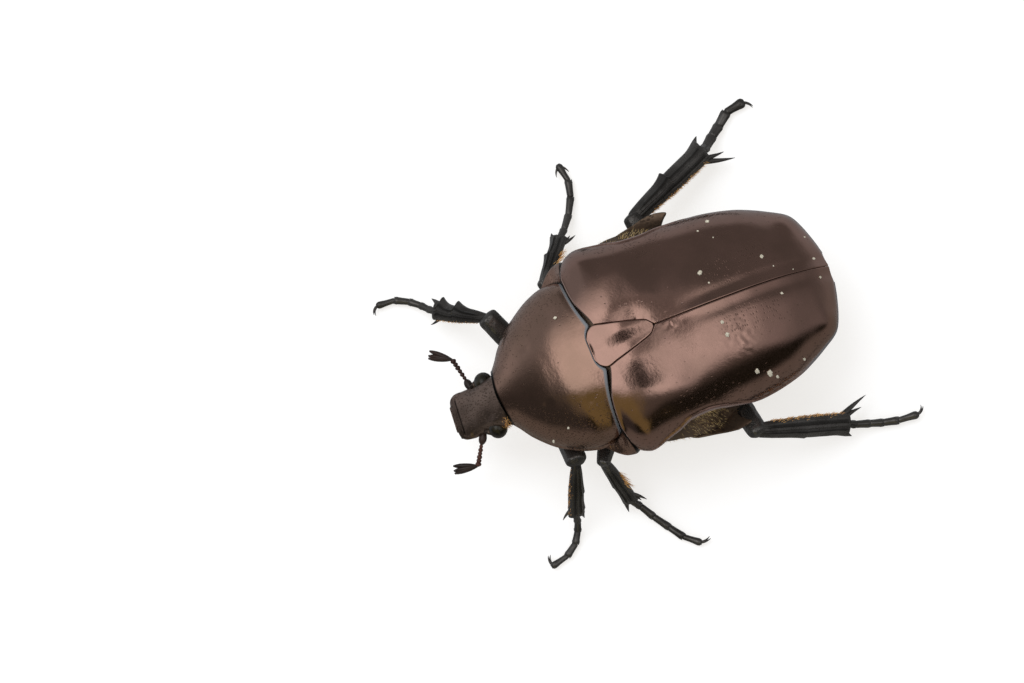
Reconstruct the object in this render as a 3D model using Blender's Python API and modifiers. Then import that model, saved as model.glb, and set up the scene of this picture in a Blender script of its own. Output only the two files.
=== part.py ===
"""A purple flower chafer, Protaetia nigropurpurea, standing on the floor at life size.

Body frame: the origin is on the floor under the tip of the scutellum, the head points to -Y and the
animal's left is at +X. Shapes are drawn in millimetres and become metres where a mesh is made.
"""

import math

import bmesh
import bpy
from mathutils import Matrix, Vector

MM = 0.001
GAP = 0.3
ELYTRON_THICKNESS = 0.55
SIDES = {"left": 1, "right": -1}


def profile(*points):
    """A smooth curve through (place, value) points that never swings past them."""
    steps = [(b[1] - a[1]) / (b[0] - a[0]) for a, b in zip(points, points[1:])]
    slopes = [steps[0]]
    for before, after in zip(steps, steps[1:]):
        slopes.append(2 * before * after / (before + after) if before * after > 0 else 0)
    slopes.append(steps[-1])

    def value(place):
        place = min(max(place, points[0][0]), points[-1][0])
        i = max(k for k in range(len(points) - 1) if points[k][0] <= place)
        (start, low), (end, high) = points[i], points[i + 1]
        width = end - start
        t = (place - start) / width
        curve = low * (1 + 2 * t) * (1 - t) ** 2 + high * t * t * (3 - 2 * t)
        return curve + width * t * (1 - t) * (slopes[i] * (1 - t) - slopes[i + 1] * t)

    return value


# The elytra together: half width, height of the back and height of the side margin along the body.
ELYTRA_END = 13.05
ELYTRA_WIDTH = profile(
    (-4.3, 6.7), (-3.6, 7.3), (-3.0, 7.55), (-1.5, 7.35), (0, 6.8), (1.6, 6.7), (4, 7.0), (6, 6.8),
    (8.3, 6.3), (9.7, 5.7), (11.1, 4.9), (11.8, 4.3), (12.4, 3.3), (12.85, 2.0), (ELYTRA_END, 1.1),
)  # fmt: skip
ELYTRA_BACK = profile(
    (-4.3, 11.0), (-2, 11.15), (4, 11.25), (7, 10.9), (9, 10.1), (11, 8.5), (12, 7.4), (12.6, 6.6),
    (ELYTRA_END, 5.95),
)  # fmt: skip
ELYTRA_MARGIN = profile((-4.3, 7.1), (-2, 6.6), (0, 6.0), (5, 5.5), (9, 5.2), (ELYTRA_END, 5.3))
ELYTRA_FLATNESS = 2.5
SHOULDER = 5.6
SHOULDER_SETBACK = 0.3

# The pronotum: half width, back and side margin, and below it the prosternum.
PRONOTUM_FRONT = -11.35
PRONOTUM_BASE = -4.6
PRONOTUM_WIDTH = profile(
    (PRONOTUM_FRONT, 2.0), (-11, 2.45), (-10.4, 3.3), (-9, 4.65), (-7, 5.75), (-6, 5.98), (-5.2, 5.93),
    (PRONOTUM_BASE, 5.7),
)  # fmt: skip
PRONOTUM_BACK = profile(
    (PRONOTUM_FRONT, 7.9), (-10, 9.0), (-8, 10.15), (-6, 10.85), (PRONOTUM_BASE, 11.0)
)
PRONOTUM_MARGIN = profile((PRONOTUM_FRONT, 6.0), (-9, 5.7), (-7, 6.2), (PRONOTUM_BASE, 7.0))
PROSTERNUM = profile((PRONOTUM_FRONT, 4.5), (-10, 3.4), (-8, 2.8), (-6, 2.9), (PRONOTUM_BASE, 3.6))
PRONOTUM_FLATNESS = profile((PRONOTUM_FRONT, 2.2), (-7, 2.3), (PRONOTUM_BASE, 2.8))
# The base has a wide lobe in the middle, the front a short nose over the neck.
PRONOTUM_LOBE = 0.95
PRONOTUM_LOBE_SPREAD = 2.65
PRONOTUM_NOSE = 0.25
PRONOTUM_NOSE_SPREAD = 2.2
PRONOTUM_RIM = (0.2, 0.3)
PROSTERNUM_SETBACK = 1.2

# The scutellum's half width from its front edge to its rounded tip.
SCUTELLUM_FRONT = -4.5
SCUTELLUM_TIP = 0.15
SCUTELLUM_WIDTH = profile(
    (SCUTELLUM_FRONT, 0.75), (-4.2, 1.28), (-3.75, 1.52), (-3, 1.33), (-2, 1.07), (-1, 0.78), (-0.2, 0.5),
    (SCUTELLUM_TIP, 0.12),
)  # fmt: skip
SCUTELLUM_SINK = 0.03

# The trunk under the elytra: how wide it bulges below their margin, and its underside.
TRUNK_FRONT = -5.4
TRUNK_END = 12.35
TRUNK_SIDE = profile(
    (TRUNK_FRONT, 5.0), (-4, 5.9), (-2, 6.5), (0, 7.0), (1.6, 7.3), (3.6, 6.6), (5, 6.2), (8, 5.8),
    (10, 5.1), (11.5, 3.9), (TRUNK_END, 2.2),
)  # fmt: skip
TRUNK_BELLY = profile(
    (TRUNK_FRONT, 2.7), (-3, 2.1), (0, 1.8), (3.5, 1.9), (6, 2.2), (9, 2.7), (11.4, 3.4), (TRUNK_END, 4.3)
)
TRUNK_ROUNDNESS = 0.8
ELYTRA_ROOM = 0.4
TRUNK_BULGE = 0.6
TRUNK_LEDGE = 0.65
WAIST = 3.75
VENTRITES = (5.6, 7.0, 8.3, 9.5)
VENTRITE_GROOVE = 0.14
VENTRITE_STEP = 0.15
PYGIDIUM_TOP = (11.7, 5.6)
PYGIDIUM_LEAN = math.radians(24)

# The head, from its neck to the front edge of the clypeus: half width, top and underside.
HEAD_TURN = math.radians(-4.5)
HEAD_SHIFT = 0.15
HEAD_PIVOT = -10.8
HEAD_BACK = -10.5
HEAD_FRONT = -14.9
HEAD_WIDTH = profile(
    (HEAD_FRONT, 1.0), (-14.8, 1.36), (-14.55, 1.56), (-14.1, 1.65), (-13.4, 1.66), (-12.8, 1.76),
    (-12, 1.85), (-11.3, 1.75), (HEAD_BACK, 1.35),
)  # fmt: skip
HEAD_TOP = profile(
    (HEAD_FRONT, 4.25), (-14.2, 4.8), (-13.4, 5.6), (-12.5, 6.5), (-11.5, 7.1), (HEAD_BACK, 7.1)
)
HEAD_UNDER = profile(
    (HEAD_FRONT, 3.7), (-14.3, 3.6), (-14, 3.15), (-13, 3.2), (-11.8, 3.7), (HEAD_BACK, 4.5)
)
HEAD_BOXINESS = 3
EYE = dict(place=(1.66, -12.25, 5.2), size=(0.72, 0.82, 0.85))
PALP = dict(start=(1.1, -13.7, 3.3), end=(1.15, -14.95, 3.35), radius=0.25)

# Antennae: lengths and half thickness of scape, funicle and club, and the way each points.
ANTENNA_ROOT = (1.45, -13.25, 4.45)
ANTENNA = dict(scape=(1.0, 0.28), funicle=(1.4, 0.25), club=(1.5, 0.26))
ANTENNA_FALL = (10, 14, 12)
ANTENNA_HEADINGS = {"left": (-31, -35, -100), "right": (192, 197, 236)}
LAMELLA_FAN = (-14, -2, 12)

# Legs, by pairs: where the hip is, then length and half widths of femur and tibia, the lengths of the
# five tarsomeres and their half width, and the teeth and spurs of the tibia. A tooth has its place as a
# share of the tibia and its reach. The outer edge, which bears the teeth, is to the fore or the rear.
LEGS = {
    "front": dict(
        hip=(1.5, -8.3, 2.0), coxa=dict(place=(2.0, -7.7, 2.9), size=(1.6, 0.85, 0.85)),
        femur=(5.2, 0.68, 0.58), tibia=(4.75, 0.34, 0.6),
        tarsus=(0.75, 0.75, 0.9, 1.04, 1.31), toe=0.26,
        teeth=((0.6, 0.32), (0.9, 0.34)), apex=0.55, spurs=(0.5,), outer=1,
    ),
    "mid": dict(
        hip=(1.9, -3.6, 1.95), coxa=dict(place=(2.2, -3.0, 2.35), size=(1.6, 0.95, 0.75)),
        femur=(5.87, 0.64, 0.56), tibia=(4.2, 0.34, 0.55),
        tarsus=(0.8, 1.18, 1.33, 1.21, 1.34), toe=0.26,
        teeth=((0.58, 0.28),), apex=0.4, spurs=(0.8, 0.6), outer=-1,
    ),
    "hind": dict(
        hip=(2.5, 3.1, 1.95), coxa=None,
        femur=(6.75, 0.72, 0.6), tibia=(7.25, 0.42, 0.8),
        tarsus=(0.65, 1.1, 0.95, 1.09, 1.44), toe=0.3,
        teeth=((0.52, 0.3),), apex=0.45, spurs=(1.85, 1.3), outer=-1,
    ),
}  # fmt: skip
TIBIA_THINNESS = 0.72
TOOTH_RADII = (0.36, 0.07)
APEX_RADII = (0.3, 0.07)
SPUR_RADII = (0.2, 0.07)

# How each leg stands: heading and rise of the femur, heading and fall of the tibia, the headings of the
# five tarsomeres, and for each claw its first and last heading. They turn from +X towards +Y, in degrees.
STANCES = {
    ("front", "left"): dict(femur=(1, 34), tibia=(-25, 44), tarsus=(-9, -25, -33, -55, -77),
                            claws=((-155, -215), (-135, -190))),
    ("front", "right"): dict(femur=(203, 21), tibia=(235, 32), tarsus=(222, 218, 228, 242, 265),
                             claws=((284, 372), (262, 350))),
    ("mid", "left"): dict(femur=(-32, 22), tibia=(15, 44), tarsus=(41, 30, 34, 34, 49),
                          claws=((75, 130), (50, 85))),
    ("mid", "right"): dict(femur=(204, 12), tibia=(136, 27), tarsus=(137, 143, 152, 166, 191),
                           claws=((60, 15), (-60, 0))),
    ("hind", "left"): dict(femur=(12, 25), tibia=(75, 29), tarsus=(67, 74, 73, 76, 85),
                           claws=((96, 182), (75, 125))),
    ("hind", "right"): dict(femur=(192, 7), tibia=(113, 10), tarsus=(132, 131, 128, 129, 99),
                            claws=((74, 22), (62, 10))),
}  # fmt: skip

# The hind coxa is a plate across the belly: its front and rear edge, underside and depth outwards.
COXA_PLATE = dict(
    inner=0.5, outer=7.85, rim=0.25, keel=0.1,
    front=profile((0.5, 1.5), (4, 1.1), (6.4, 0.9), (7.3, 1.9), (7.85, 3.5)),
    rear=profile((0.5, 3.75), (6, 3.75), (7.1, 4.05), (7.85, 4.2)),
    under=profile((0.5, 1.6), (2, 1.7), (4, 2.4), (6, 3.6), (7.2, 4.4), (7.85, 4.95)),
    depth=profile((0.5, 1.2), (4, 1.3), (6, 1.1), (7.2, 0.8), (7.85, 0.5)),
)  # fmt: skip
MESEPIMERON = dict(place=(5.75, -4.85, 6.4), size=(1.5, 1.2, 1.9))
CLAW_LENGTH = 0.95
CLAW_RADII = (0.2, 0.17, 0.13, 0.06)
CLAW_RISES = (12, -6, -16)
TOE_HEIGHT = 0.22


def make_material(name, colour, roughness, metallic):
    material = bpy.data.materials.new(name)
    material.use_nodes = True
    shader = material.node_tree.nodes["Principled BSDF"]
    shader.inputs["Base Color"].default_value = (*colour, 1)
    shader.inputs["Roughness"].default_value = roughness
    shader.inputs["Metallic"].default_value = metallic
    return material


def add_object(name, bm, material):
    """Makes an object of a mesh drawn in millimetres."""
    bmesh.ops.scale(bm, vec=(MM, MM, MM), verts=bm.verts)
    bmesh.ops.recalc_face_normals(bm, faces=bm.faces)
    mesh = bpy.data.meshes.new(name)
    bm.to_mesh(mesh)
    bm.free()
    mesh.shade_smooth()
    mesh.set_sharp_from_angle(angle=math.radians(40))
    mesh.materials.append(material)
    piece = bpy.data.objects.new(name, mesh)
    parts.objects.link(piece)
    return piece


def loft(name, rings, material):
    """One closed skin through rings of as many points each."""
    bm = bmesh.new()
    rows = [[bm.verts.new(point) for point in ring] for ring in rings]
    for near, far in zip(rows, rows[1:]):
        for i in range(len(near)):
            bm.faces.new((near[i - 1], near[i], far[i], far[i - 1]))
    caps = [bm.faces.new(rows[0]), bm.faces.new(rows[-1])]
    bmesh.ops.poke(bm, faces=caps)
    return add_object(name, bm, material)


def ellipsoid(name, place, size, material, rings=7):
    bm = bmesh.new()
    bmesh.ops.create_uvsphere(bm, u_segments=2 * rings, v_segments=rings, radius=1)
    bmesh.ops.scale(bm, vec=size, verts=bm.verts)
    bmesh.ops.translate(bm, vec=place, verts=bm.verts)
    return add_object(name, bm, material)


def cone(name, start, end, wide, narrow, material, segments=7):
    """A cone or rod between two points."""
    start = Vector(start)
    along = Vector(end) - start
    turn = along.to_track_quat("Z", "Y").to_matrix().to_4x4()
    middle = Matrix.Translation(start + along / 2)
    bm = bmesh.new()
    bmesh.ops.create_cone(
        bm, cap_ends=True, segments=segments, radius1=wide, radius2=narrow, depth=along.length,
        matrix=middle @ turn,
    )  # fmt: skip
    return add_object(name, bm, material)


def limb(name, stations, material, segments=8):
    """A rod along +X through (place, half width, half thickness) stations, with rounded ends."""
    rings = []
    for place, width, thickness in stations:
        turns = [2 * math.pi * i / segments for i in range(segments)]
        rings.append([(place, width * math.cos(a), thickness * math.sin(a)) for a in turns])
    return loft(name, rings, material)


def keep_largest(mesh):
    """Leaves only the largest closed surface of a mesh."""
    bm = bmesh.new()
    bm.from_mesh(mesh)
    left = set(bm.verts)
    islands = []
    while left:
        island = {left.pop()}
        edge = list(island)
        while edge:
            vert = edge.pop()
            near = {link.other_vert(vert) for link in vert.link_edges} & left
            left -= near
            island |= near
            edge.extend(near)
        islands.append(island)
    islands.sort(key=len)
    for island in islands[:-1]:
        bmesh.ops.delete(bm, geom=list(island), context="VERTS")
    bmesh.ops.dissolve_degenerate(bm, dist=1e-7, edges=bm.edges)
    bm.to_mesh(mesh)
    bm.free()


def apply_modifiers(piece):
    bpy.context.view_layer.update()
    evaluated = piece.evaluated_get(bpy.context.evaluated_depsgraph_get())
    mesh = bpy.data.meshes.new_from_object(evaluated)
    piece.modifiers.clear()
    piece.data = mesh
    keep_largest(mesh)
    mesh.name = piece.name


def fuse(piece, others):
    """Joins other closed pieces to this one, and removes them."""
    joined = bpy.data.collections.new("joined")
    for other in others:
        joined.objects.link(other)
    union = piece.modifiers.new("union", "BOOLEAN")
    union.operation = "UNION"
    union.operand_type = "COLLECTION"
    union.collection = joined
    union.solver = "MANIFOLD"
    apply_modifiers(piece)
    for other in others:
        bpy.data.objects.remove(other)
    bpy.data.collections.remove(joined)


def clear_of(piece, others, gap=GAP):
    """Cuts a piece back so that the gap is left round each of the others."""
    for other in others:
        grown = bmesh.new()
        grown.from_mesh(other.data)
        grown.normal_update()
        for vert, normal in [(vert, vert.normal.copy()) for vert in grown.verts]:
            vert.co += normal * gap * MM
        mesh = bpy.data.meshes.new("cutter")
        grown.to_mesh(mesh)
        grown.free()
        cutter = bpy.data.objects.new("cutter", mesh)
        cutter.matrix_world = other.matrix_world
        cutter.display_type = "WIRE"
        cutter.hide_render = True
        cutters.objects.link(cutter)
        cut = piece.modifiers.new("clearance", "BOOLEAN")
        cut.operation = "DIFFERENCE"
        cut.object = cutter
        cut.solver = "MANIFOLD"
        apply_modifiers(piece)
        bpy.data.objects.remove(cutter)


def cut_plane(piece, place, normal):
    """Takes away what lies on the normal's side of a plane, and closes the cut."""
    bm = bmesh.new()
    bm.from_mesh(piece.data)
    local = piece.matrix_world.inverted()
    point = local @ (Vector(place) * MM)
    facing = local.to_3x3() @ Vector(normal)
    everything = bm.verts[:] + bm.edges[:] + bm.faces[:]
    bmesh.ops.bisect_plane(
        bm, geom=everything, dist=1e-8, plane_co=point, plane_no=facing, clear_outer=True
    )
    bmesh.ops.holes_fill(bm, edges=[edge for edge in bm.edges if edge.is_boundary])
    bm.to_mesh(piece.data)
    bm.free()


def body_ring(y, upper, lower, steps=6):
    """A ring across the body, from (half width, height, base) of its upper half and of its lower half."""
    wide, top, margin = upper[:3]
    side, belly, ledge = lower
    roundness = 2 / upper[3]
    quarter = []
    for i in range(steps + 1):
        turn = math.pi / 2 * i / steps
        quarter.append((wide * math.sin(turn) ** roundness, margin + (top - margin) * math.cos(turn)))
    for i in range(1, steps + 1):
        turn = math.pi / 2 * i / steps
        reach = side * max(math.cos(turn), 0) ** TRUNK_ROUNDNESS
        quarter.append((reach, ledge - (ledge - belly) * math.sin(turn)))
    quarter[-1] = (0, belly)
    mirrored = [(-x, z) for x, z in quarter[-2:0:-1]]
    return [(x, y, z) for x, z in quarter + mirrored]


def elytra_point(y, share):
    """A point of an elytron's outer face, where share runs from its inner edge to the side margin."""
    inner = GAP / 2 if y > SCUTELLUM_TIP else SCUTELLUM_WIDTH(y) + GAP
    start = math.asin((inner / ELYTRA_WIDTH(y)) ** (ELYTRA_FLATNESS / 2))
    turn = start + (math.pi / 2 - start) * share
    margin = ELYTRA_MARGIN(y)
    x = ELYTRA_WIDTH(y) * math.sin(turn) ** (2 / ELYTRA_FLATNESS)
    return x, margin + (ELYTRA_BACK(y) - margin) * math.cos(turn)


def elytra_height(x, y):
    reach = min(abs(x) / ELYTRA_WIDTH(y), 1) ** ELYTRA_FLATNESS
    margin = ELYTRA_MARGIN(y)
    return margin + (ELYTRA_BACK(y) - margin) * math.sqrt(1 - reach)


def pronotum_base(x):
    """Where the pronotum's base runs: a wide lobe in the middle, which the scutellum notches."""
    return PRONOTUM_BASE + PRONOTUM_LOBE * math.exp(-((x / PRONOTUM_LOBE_SPREAD) ** 2))


def make_elytron(side, material, lengthwise=20, across=9):
    """One wing case: a thin vaulted shell from the suture to the side margin, notched by the scutellum."""
    bm = bmesh.new()
    grid = []
    for i in range(lengthwise + 1):
        # The rows stand closer together where the shell curves down to its end.
        share = 1.25 * i / lengthwise - 0.25 * (i / lengthwise) ** 2
        row = []
        for j in range(across + 1):
            # The front edge follows the pronotum's base, so each column starts at its own place.
            y = PRONOTUM_BASE + (ELYTRA_END - PRONOTUM_BASE) * share
            x = elytra_point(y, j / across)[0]
            front = pronotum_base(x) + GAP + SHOULDER_SETBACK * max(0, x - SHOULDER)
            y = front + (ELYTRA_END - front) * share
            x, z = elytra_point(y, j / across)
            row.append(bm.verts.new((SIDES[side] * x, y, z)))
        grid.append(row)
    for near, far in zip(grid, grid[1:]):
        for j in range(across):
            bm.faces.new((near[j], near[j + 1], far[j + 1], far[j]))
    shell = add_object(f"elytron_{side}", bm, material)
    if shell.data.polygons[0].normal.z < 0:
        shell.data.flip_normals()
    solidify = shell.modifiers.new("thickness", "SOLIDIFY")
    solidify.thickness = ELYTRON_THICKNESS * MM
    solidify.offset = -1
    apply_modifiers(shell)
    return shell


def make_scutellum(material, stations=12):
    """The small triangle between the bases of the elytra."""
    rings = []
    for i in range(stations + 1):
        y = SCUTELLUM_FRONT + (SCUTELLUM_TIP - SCUTELLUM_FRONT) * i / stations
        wide = SCUTELLUM_WIDTH(y)
        across = [wide * k / 3 for k in range(-3, 4)]
        top = [(x, y, elytra_height(x, y) - SCUTELLUM_SINK) for x in across]
        rings.append(top + [(x, y, z - ELYTRON_THICKNESS) for x, y, z in reversed(top)])
    return loft("scutellum", rings, material)


def make_trunk(materials, stations=16):
    """Thorax, abdomen and pygidium, drawn as one body and parted by two cuts."""
    inset = ELYTRON_THICKNESS + ELYTRA_ROOM
    places = [TRUNK_FRONT + (TRUNK_END - TRUNK_FRONT) * i / stations for i in range(stations + 1)]
    for groove in VENTRITES:
        places += [groove - VENTRITE_STEP, groove]
    rings = []
    for y in sorted(places):
        notch = VENTRITE_GROOVE if y in VENTRITES else 0
        margin = ELYTRA_MARGIN(y)
        upper = (ELYTRA_WIDTH(y) - inset, ELYTRA_BACK(y) - inset, margin, ELYTRA_FLATNESS)
        side = min(TRUNK_SIDE(y), ELYTRA_WIDTH(y) + TRUNK_BULGE) - notch
        rings.append(body_ring(y, upper, (side, TRUNK_BELLY(y) + notch, margin - TRUNK_LEDGE)))
    thorax = loft("thorax", rings, materials["underside"])
    abdomen = thorax.copy()
    abdomen.data = thorax.data.copy()
    abdomen.name = "abdomen"
    parts.objects.link(abdomen)
    cut_plane(thorax, (0, WAIST - GAP / 2, 0), (0, 1, 0))
    cut_plane(abdomen, (0, WAIST + GAP / 2, 0), (0, -1, 0))
    pygidium = abdomen.copy()
    pygidium.data = abdomen.data.copy()
    pygidium.name = "pygidium"
    parts.objects.link(pygidium)
    behind = Vector((0, math.cos(PYGIDIUM_LEAN), -math.sin(PYGIDIUM_LEAN)))
    seam = Vector((0, *PYGIDIUM_TOP))
    cut_plane(abdomen, seam - behind * GAP / 2, behind)
    cut_plane(pygidium, seam + behind * GAP / 2, -behind)
    return thorax, abdomen, pygidium


def make_prothorax(material, stations=14):
    """The pronotum's dome with the prosternum under it."""
    rings = []
    for i in range(stations + 1):
        share = i / stations
        y = PRONOTUM_FRONT + (PRONOTUM_BASE - PRONOTUM_FRONT) * share
        margin = PRONOTUM_MARGIN(y)
        wide = PRONOTUM_WIDTH(y)
        upper = (wide, PRONOTUM_BACK(y), margin, PRONOTUM_FLATNESS(y))
        inset, drop = PRONOTUM_RIM
        ring = body_ring(y, upper, (wide - inset, PROSTERNUM(y), margin - drop), steps=8)
        # The base runs back in the middle above, and the underside is shorter than the back.
        shaped = []
        for x, y, z in ring:
            back = max(0, z - margin) / (PRONOTUM_BACK(y) - margin)
            lobe = pronotum_base(x) - PRONOTUM_BASE if z > margin else 0
            short = -PROSTERNUM_SETBACK * min(1, max(0, margin - z) / 2)
            nose = -PRONOTUM_NOSE * math.cos(min(abs(x) / PRONOTUM_NOSE_SPREAD, 1) * math.pi / 2) * back
            shaped.append((x, y + share**4 * (lobe + short) + (1 - share) ** 4 * nose, z))
        rings.append(shaped)
    return loft("prothorax", rings, material)


def make_head(material, stations=14):
    rings = []
    for i in range(stations + 1):
        share = i / stations
        y = HEAD_FRONT + (HEAD_BACK - HEAD_FRONT) * share**1.3
        middle = (HEAD_TOP(y) + HEAD_UNDER(y)) / 2
        wide = HEAD_WIDTH(y)
        upper = (wide, HEAD_TOP(y), middle, HEAD_BOXINESS)
        rings.append(body_ring(y, upper, (wide, HEAD_UNDER(y), middle), steps=5))
    head = loft("head", rings, material)
    palps = []
    for side, sign in SIDES.items():
        (x0, y0, z0), (x1, y1, z1) = PALP["start"], PALP["end"]
        ends = (sign * x0, y0, z0), (sign * x1, y1, z1)
        palps.append(cone("palp", *ends, PALP["radius"], PALP["radius"], material))
    fuse(head, palps)
    return head


def bearing(heading, rise):
    heading, rise = math.radians(heading), math.radians(rise)
    return Vector((math.cos(heading) * math.cos(rise), math.sin(heading) * math.cos(rise), math.sin(rise)))


def make_antenna(side, material):
    """Scape, funicle and the club of three leaves."""
    x, y, z = ANTENNA_ROOT
    joint = Vector((SIDES[side] * x, y, z))
    shafts = []
    for segment, heading, fall in zip(ANTENNA, ANTENNA_HEADINGS[side], ANTENNA_FALL):
        length, radius = ANTENNA[segment]
        way = bearing(heading, -fall)
        if segment != "club":
            end = joint + way * (length + radius * 0.6)
            shafts.append(cone(segment, joint, end, radius * 0.8, radius, material))
            joint = joint + way * length
            continue
        for fan in LAMELLA_FAN:
            size = (length / 2 + 0.12, radius, radius)
            leaf = ellipsoid("leaf", (length / 2, 0, 0), size, material, rings=6)
            leaf.location = joint * MM
            leaf.rotation_euler = bearing(heading + fan, -fall).to_track_quat("X", "Z").to_euler()
            shafts.append(leaf)
    antenna = shafts.pop(0)
    antenna.name = f"antenna_{side}"
    fuse(antenna, shafts)
    return antenna


def set_along(piece, joint, way):
    """Places a piece drawn along +X with its start at a joint, along a way."""
    piece.location = joint * MM
    piece.rotation_euler = way.to_track_quat("X", "Z").to_euler()
    bpy.context.view_layer.update()


def make_femur(name, leg, material):
    length, wide, thick = leg["femur"]
    shape = ((-0.25, 0.45), (-0.1, 0.68), (0.25, 0.8), (0.3 * length, 1.0), (0.6 * length, 1.0),
             (0.85 * length, 0.85), (length, 0.8), (length + 0.25, 0.62), (length + 0.4, 0.3))  # fmt: skip
    return limb(name, [(place, share * wide, share * thick) for place, share in shape], material)


def make_tibia(name, leg, outer, material):
    """A shank that widens to its end, with teeth on the outer edge and spurs inside."""
    length, slim, wide = leg["tibia"]
    spread = wide - slim
    shape = ((-0.3, 0.5 * slim), (-0.1, slim), (0.4, slim), (0.35 * length, slim + 0.35 * spread),
             (0.75 * length, slim + 0.8 * spread), (length - 0.15, wide), (length, 0.9 * wide))  # fmt: skip
    tibia = limb(name, [(place, half, half * TIBIA_THINNESS) for place, half in shape], material)
    additions = []
    for share, reach in leg["teeth"]:
        edge = slim + share * (wide - slim)
        root = (share * length - 0.3, outer * edge * 0.4, 0)
        tip = (share * length + 0.12, outer * (edge + reach), 0)
        additions.append(cone("tooth", root, tip, *TOOTH_RADII, material, 6))
    root = (length - 0.5, outer * wide * 0.55, 0)
    apex = (length + leg["apex"], outer * wide * 1.15, 0)
    additions.append(cone("tooth", root, apex, *APEX_RADII, material, 6))
    for index, reach in enumerate(leg["spurs"]):
        slant = math.radians(35 - 12 * index)
        root = Vector((length - 0.45, -outer * wide * (0.75 - 0.3 * index), -0.12))
        way = Vector((math.cos(slant), -outer * math.sin(slant), -0.12))
        additions.append(cone("spur", root, root + way * (reach + 0.4), *SPUR_RADII, material, 6))
    fuse(tibia, additions)
    return tibia


def make_tarsus(name, leg, start, stance, material):
    """Five joints that widen towards their ends and two curved claws, standing on the floor."""
    joint = start.copy()
    pieces = []
    for index, (length, heading) in enumerate(zip(leg["tarsus"], stance["tarsus"])):
        settle = max(0, 1 - (index + 1) / 3) ** 1.5
        drop = joint.z - (TOE_HEIGHT + (start.z - TOE_HEIGHT) * settle)
        way = bearing(heading, -math.degrees(math.asin(min(0.9, drop / length))))
        end = joint + way * length
        ends = joint - way * 0.12, end + way * 0.05
        pieces.append(cone("tarsomere", *ends, leg["toe"] * 0.8, leg["toe"] * 1.1, material))
        joint = end
    for first, last in stance["claws"]:
        place = joint - bearing(stance["tarsus"][-1], 0) * 0.12
        for step in range(3):
            way = bearing(first + (last - first) * step / 2, CLAW_RISES[step])
            end = place + way * CLAW_LENGTH / 3
            near, far = CLAW_RADII[step : step + 2]
            pieces.append(cone("claw", place - way * 0.06, end, near, far, material, 6))
            place = end
    tarsus = pieces.pop(0)
    tarsus.name = name
    fuse(tarsus, pieces)
    cut_plane(tarsus, (0, 0, 0), (0, 0, -1))
    return tarsus


def make_coxa(pair, side, material, stations=14):
    """A rounded cone for the front and mid legs, and a wide plate for the hind ones."""
    leg = LEGS[pair]
    name = f"coxa_{pair}_{side}"
    sign = SIDES[side]
    if leg["coxa"]:
        x, y, z = leg["coxa"]["place"]
        return ellipsoid(name, (sign * x, y, z), leg["coxa"]["size"], material)
    plate = COXA_PLATE
    rim = plate["rim"]
    rings = []
    for i in range(stations + 1):
        x = plate["inner"] + (plate["outer"] - plate["inner"]) * i / stations
        low, high = plate["under"](x), plate["under"](x) + plate["depth"](x)
        near, far = plate["front"](x), plate["rear"](x)
        keel = ((near + far) / 2, low - plate["keel"])
        section = ((near, low + rim), (near + rim, low), keel, (far - rim, low),
                   (far, low + rim), (far, high), (near, high))  # fmt: skip
        rings.append([(sign * x, y, z) for y, z in section])
    return loft(name, rings, material)


def make_leg(pair, side, materials):
    """Coxa, femur, tibia and tarsus, each cut back from the next one out."""
    leg = LEGS[pair]
    stance = STANCES[pair, side]
    sign = SIDES[side]
    x, y, z = leg["hip"]
    hip = Vector((sign * x, y, z))
    femur = make_femur(f"femur_{pair}_{side}", leg, materials["leg"])
    femur_way = bearing(*stance["femur"])
    set_along(femur, hip, femur_way)
    knee = hip + femur_way * leg["femur"][0]
    tibia = make_tibia(f"tibia_{pair}_{side}", leg, sign * leg["outer"], materials["leg"])
    heading, fall = stance["tibia"]
    tibia_way = bearing(heading, -fall)
    set_along(tibia, knee, tibia_way)
    ankle = knee + tibia_way * leg["tibia"][0]
    tarsus = make_tarsus(f"tarsus_{pair}_{side}", leg, ankle, stance, materials["leg"])
    coxa = make_coxa(pair, side, materials["underside"])
    clear_of(tibia, [tarsus])
    clear_of(femur, [tibia])
    clear_of(coxa, [femur])
    return coxa, femur, tibia, tarsus


def make_mesepimeron(side, material):
    x, y, z = MESEPIMERON["place"]
    return ellipsoid(f"mesepimeron_{side}", (SIDES[side] * x, y, z), MESEPIMERON["size"], material)


def make_eye(side, material):
    x, y, z = EYE["place"]
    return ellipsoid(f"eye_{side}", (SIDES[side] * x, y, z), EYE["size"], material)


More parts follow.
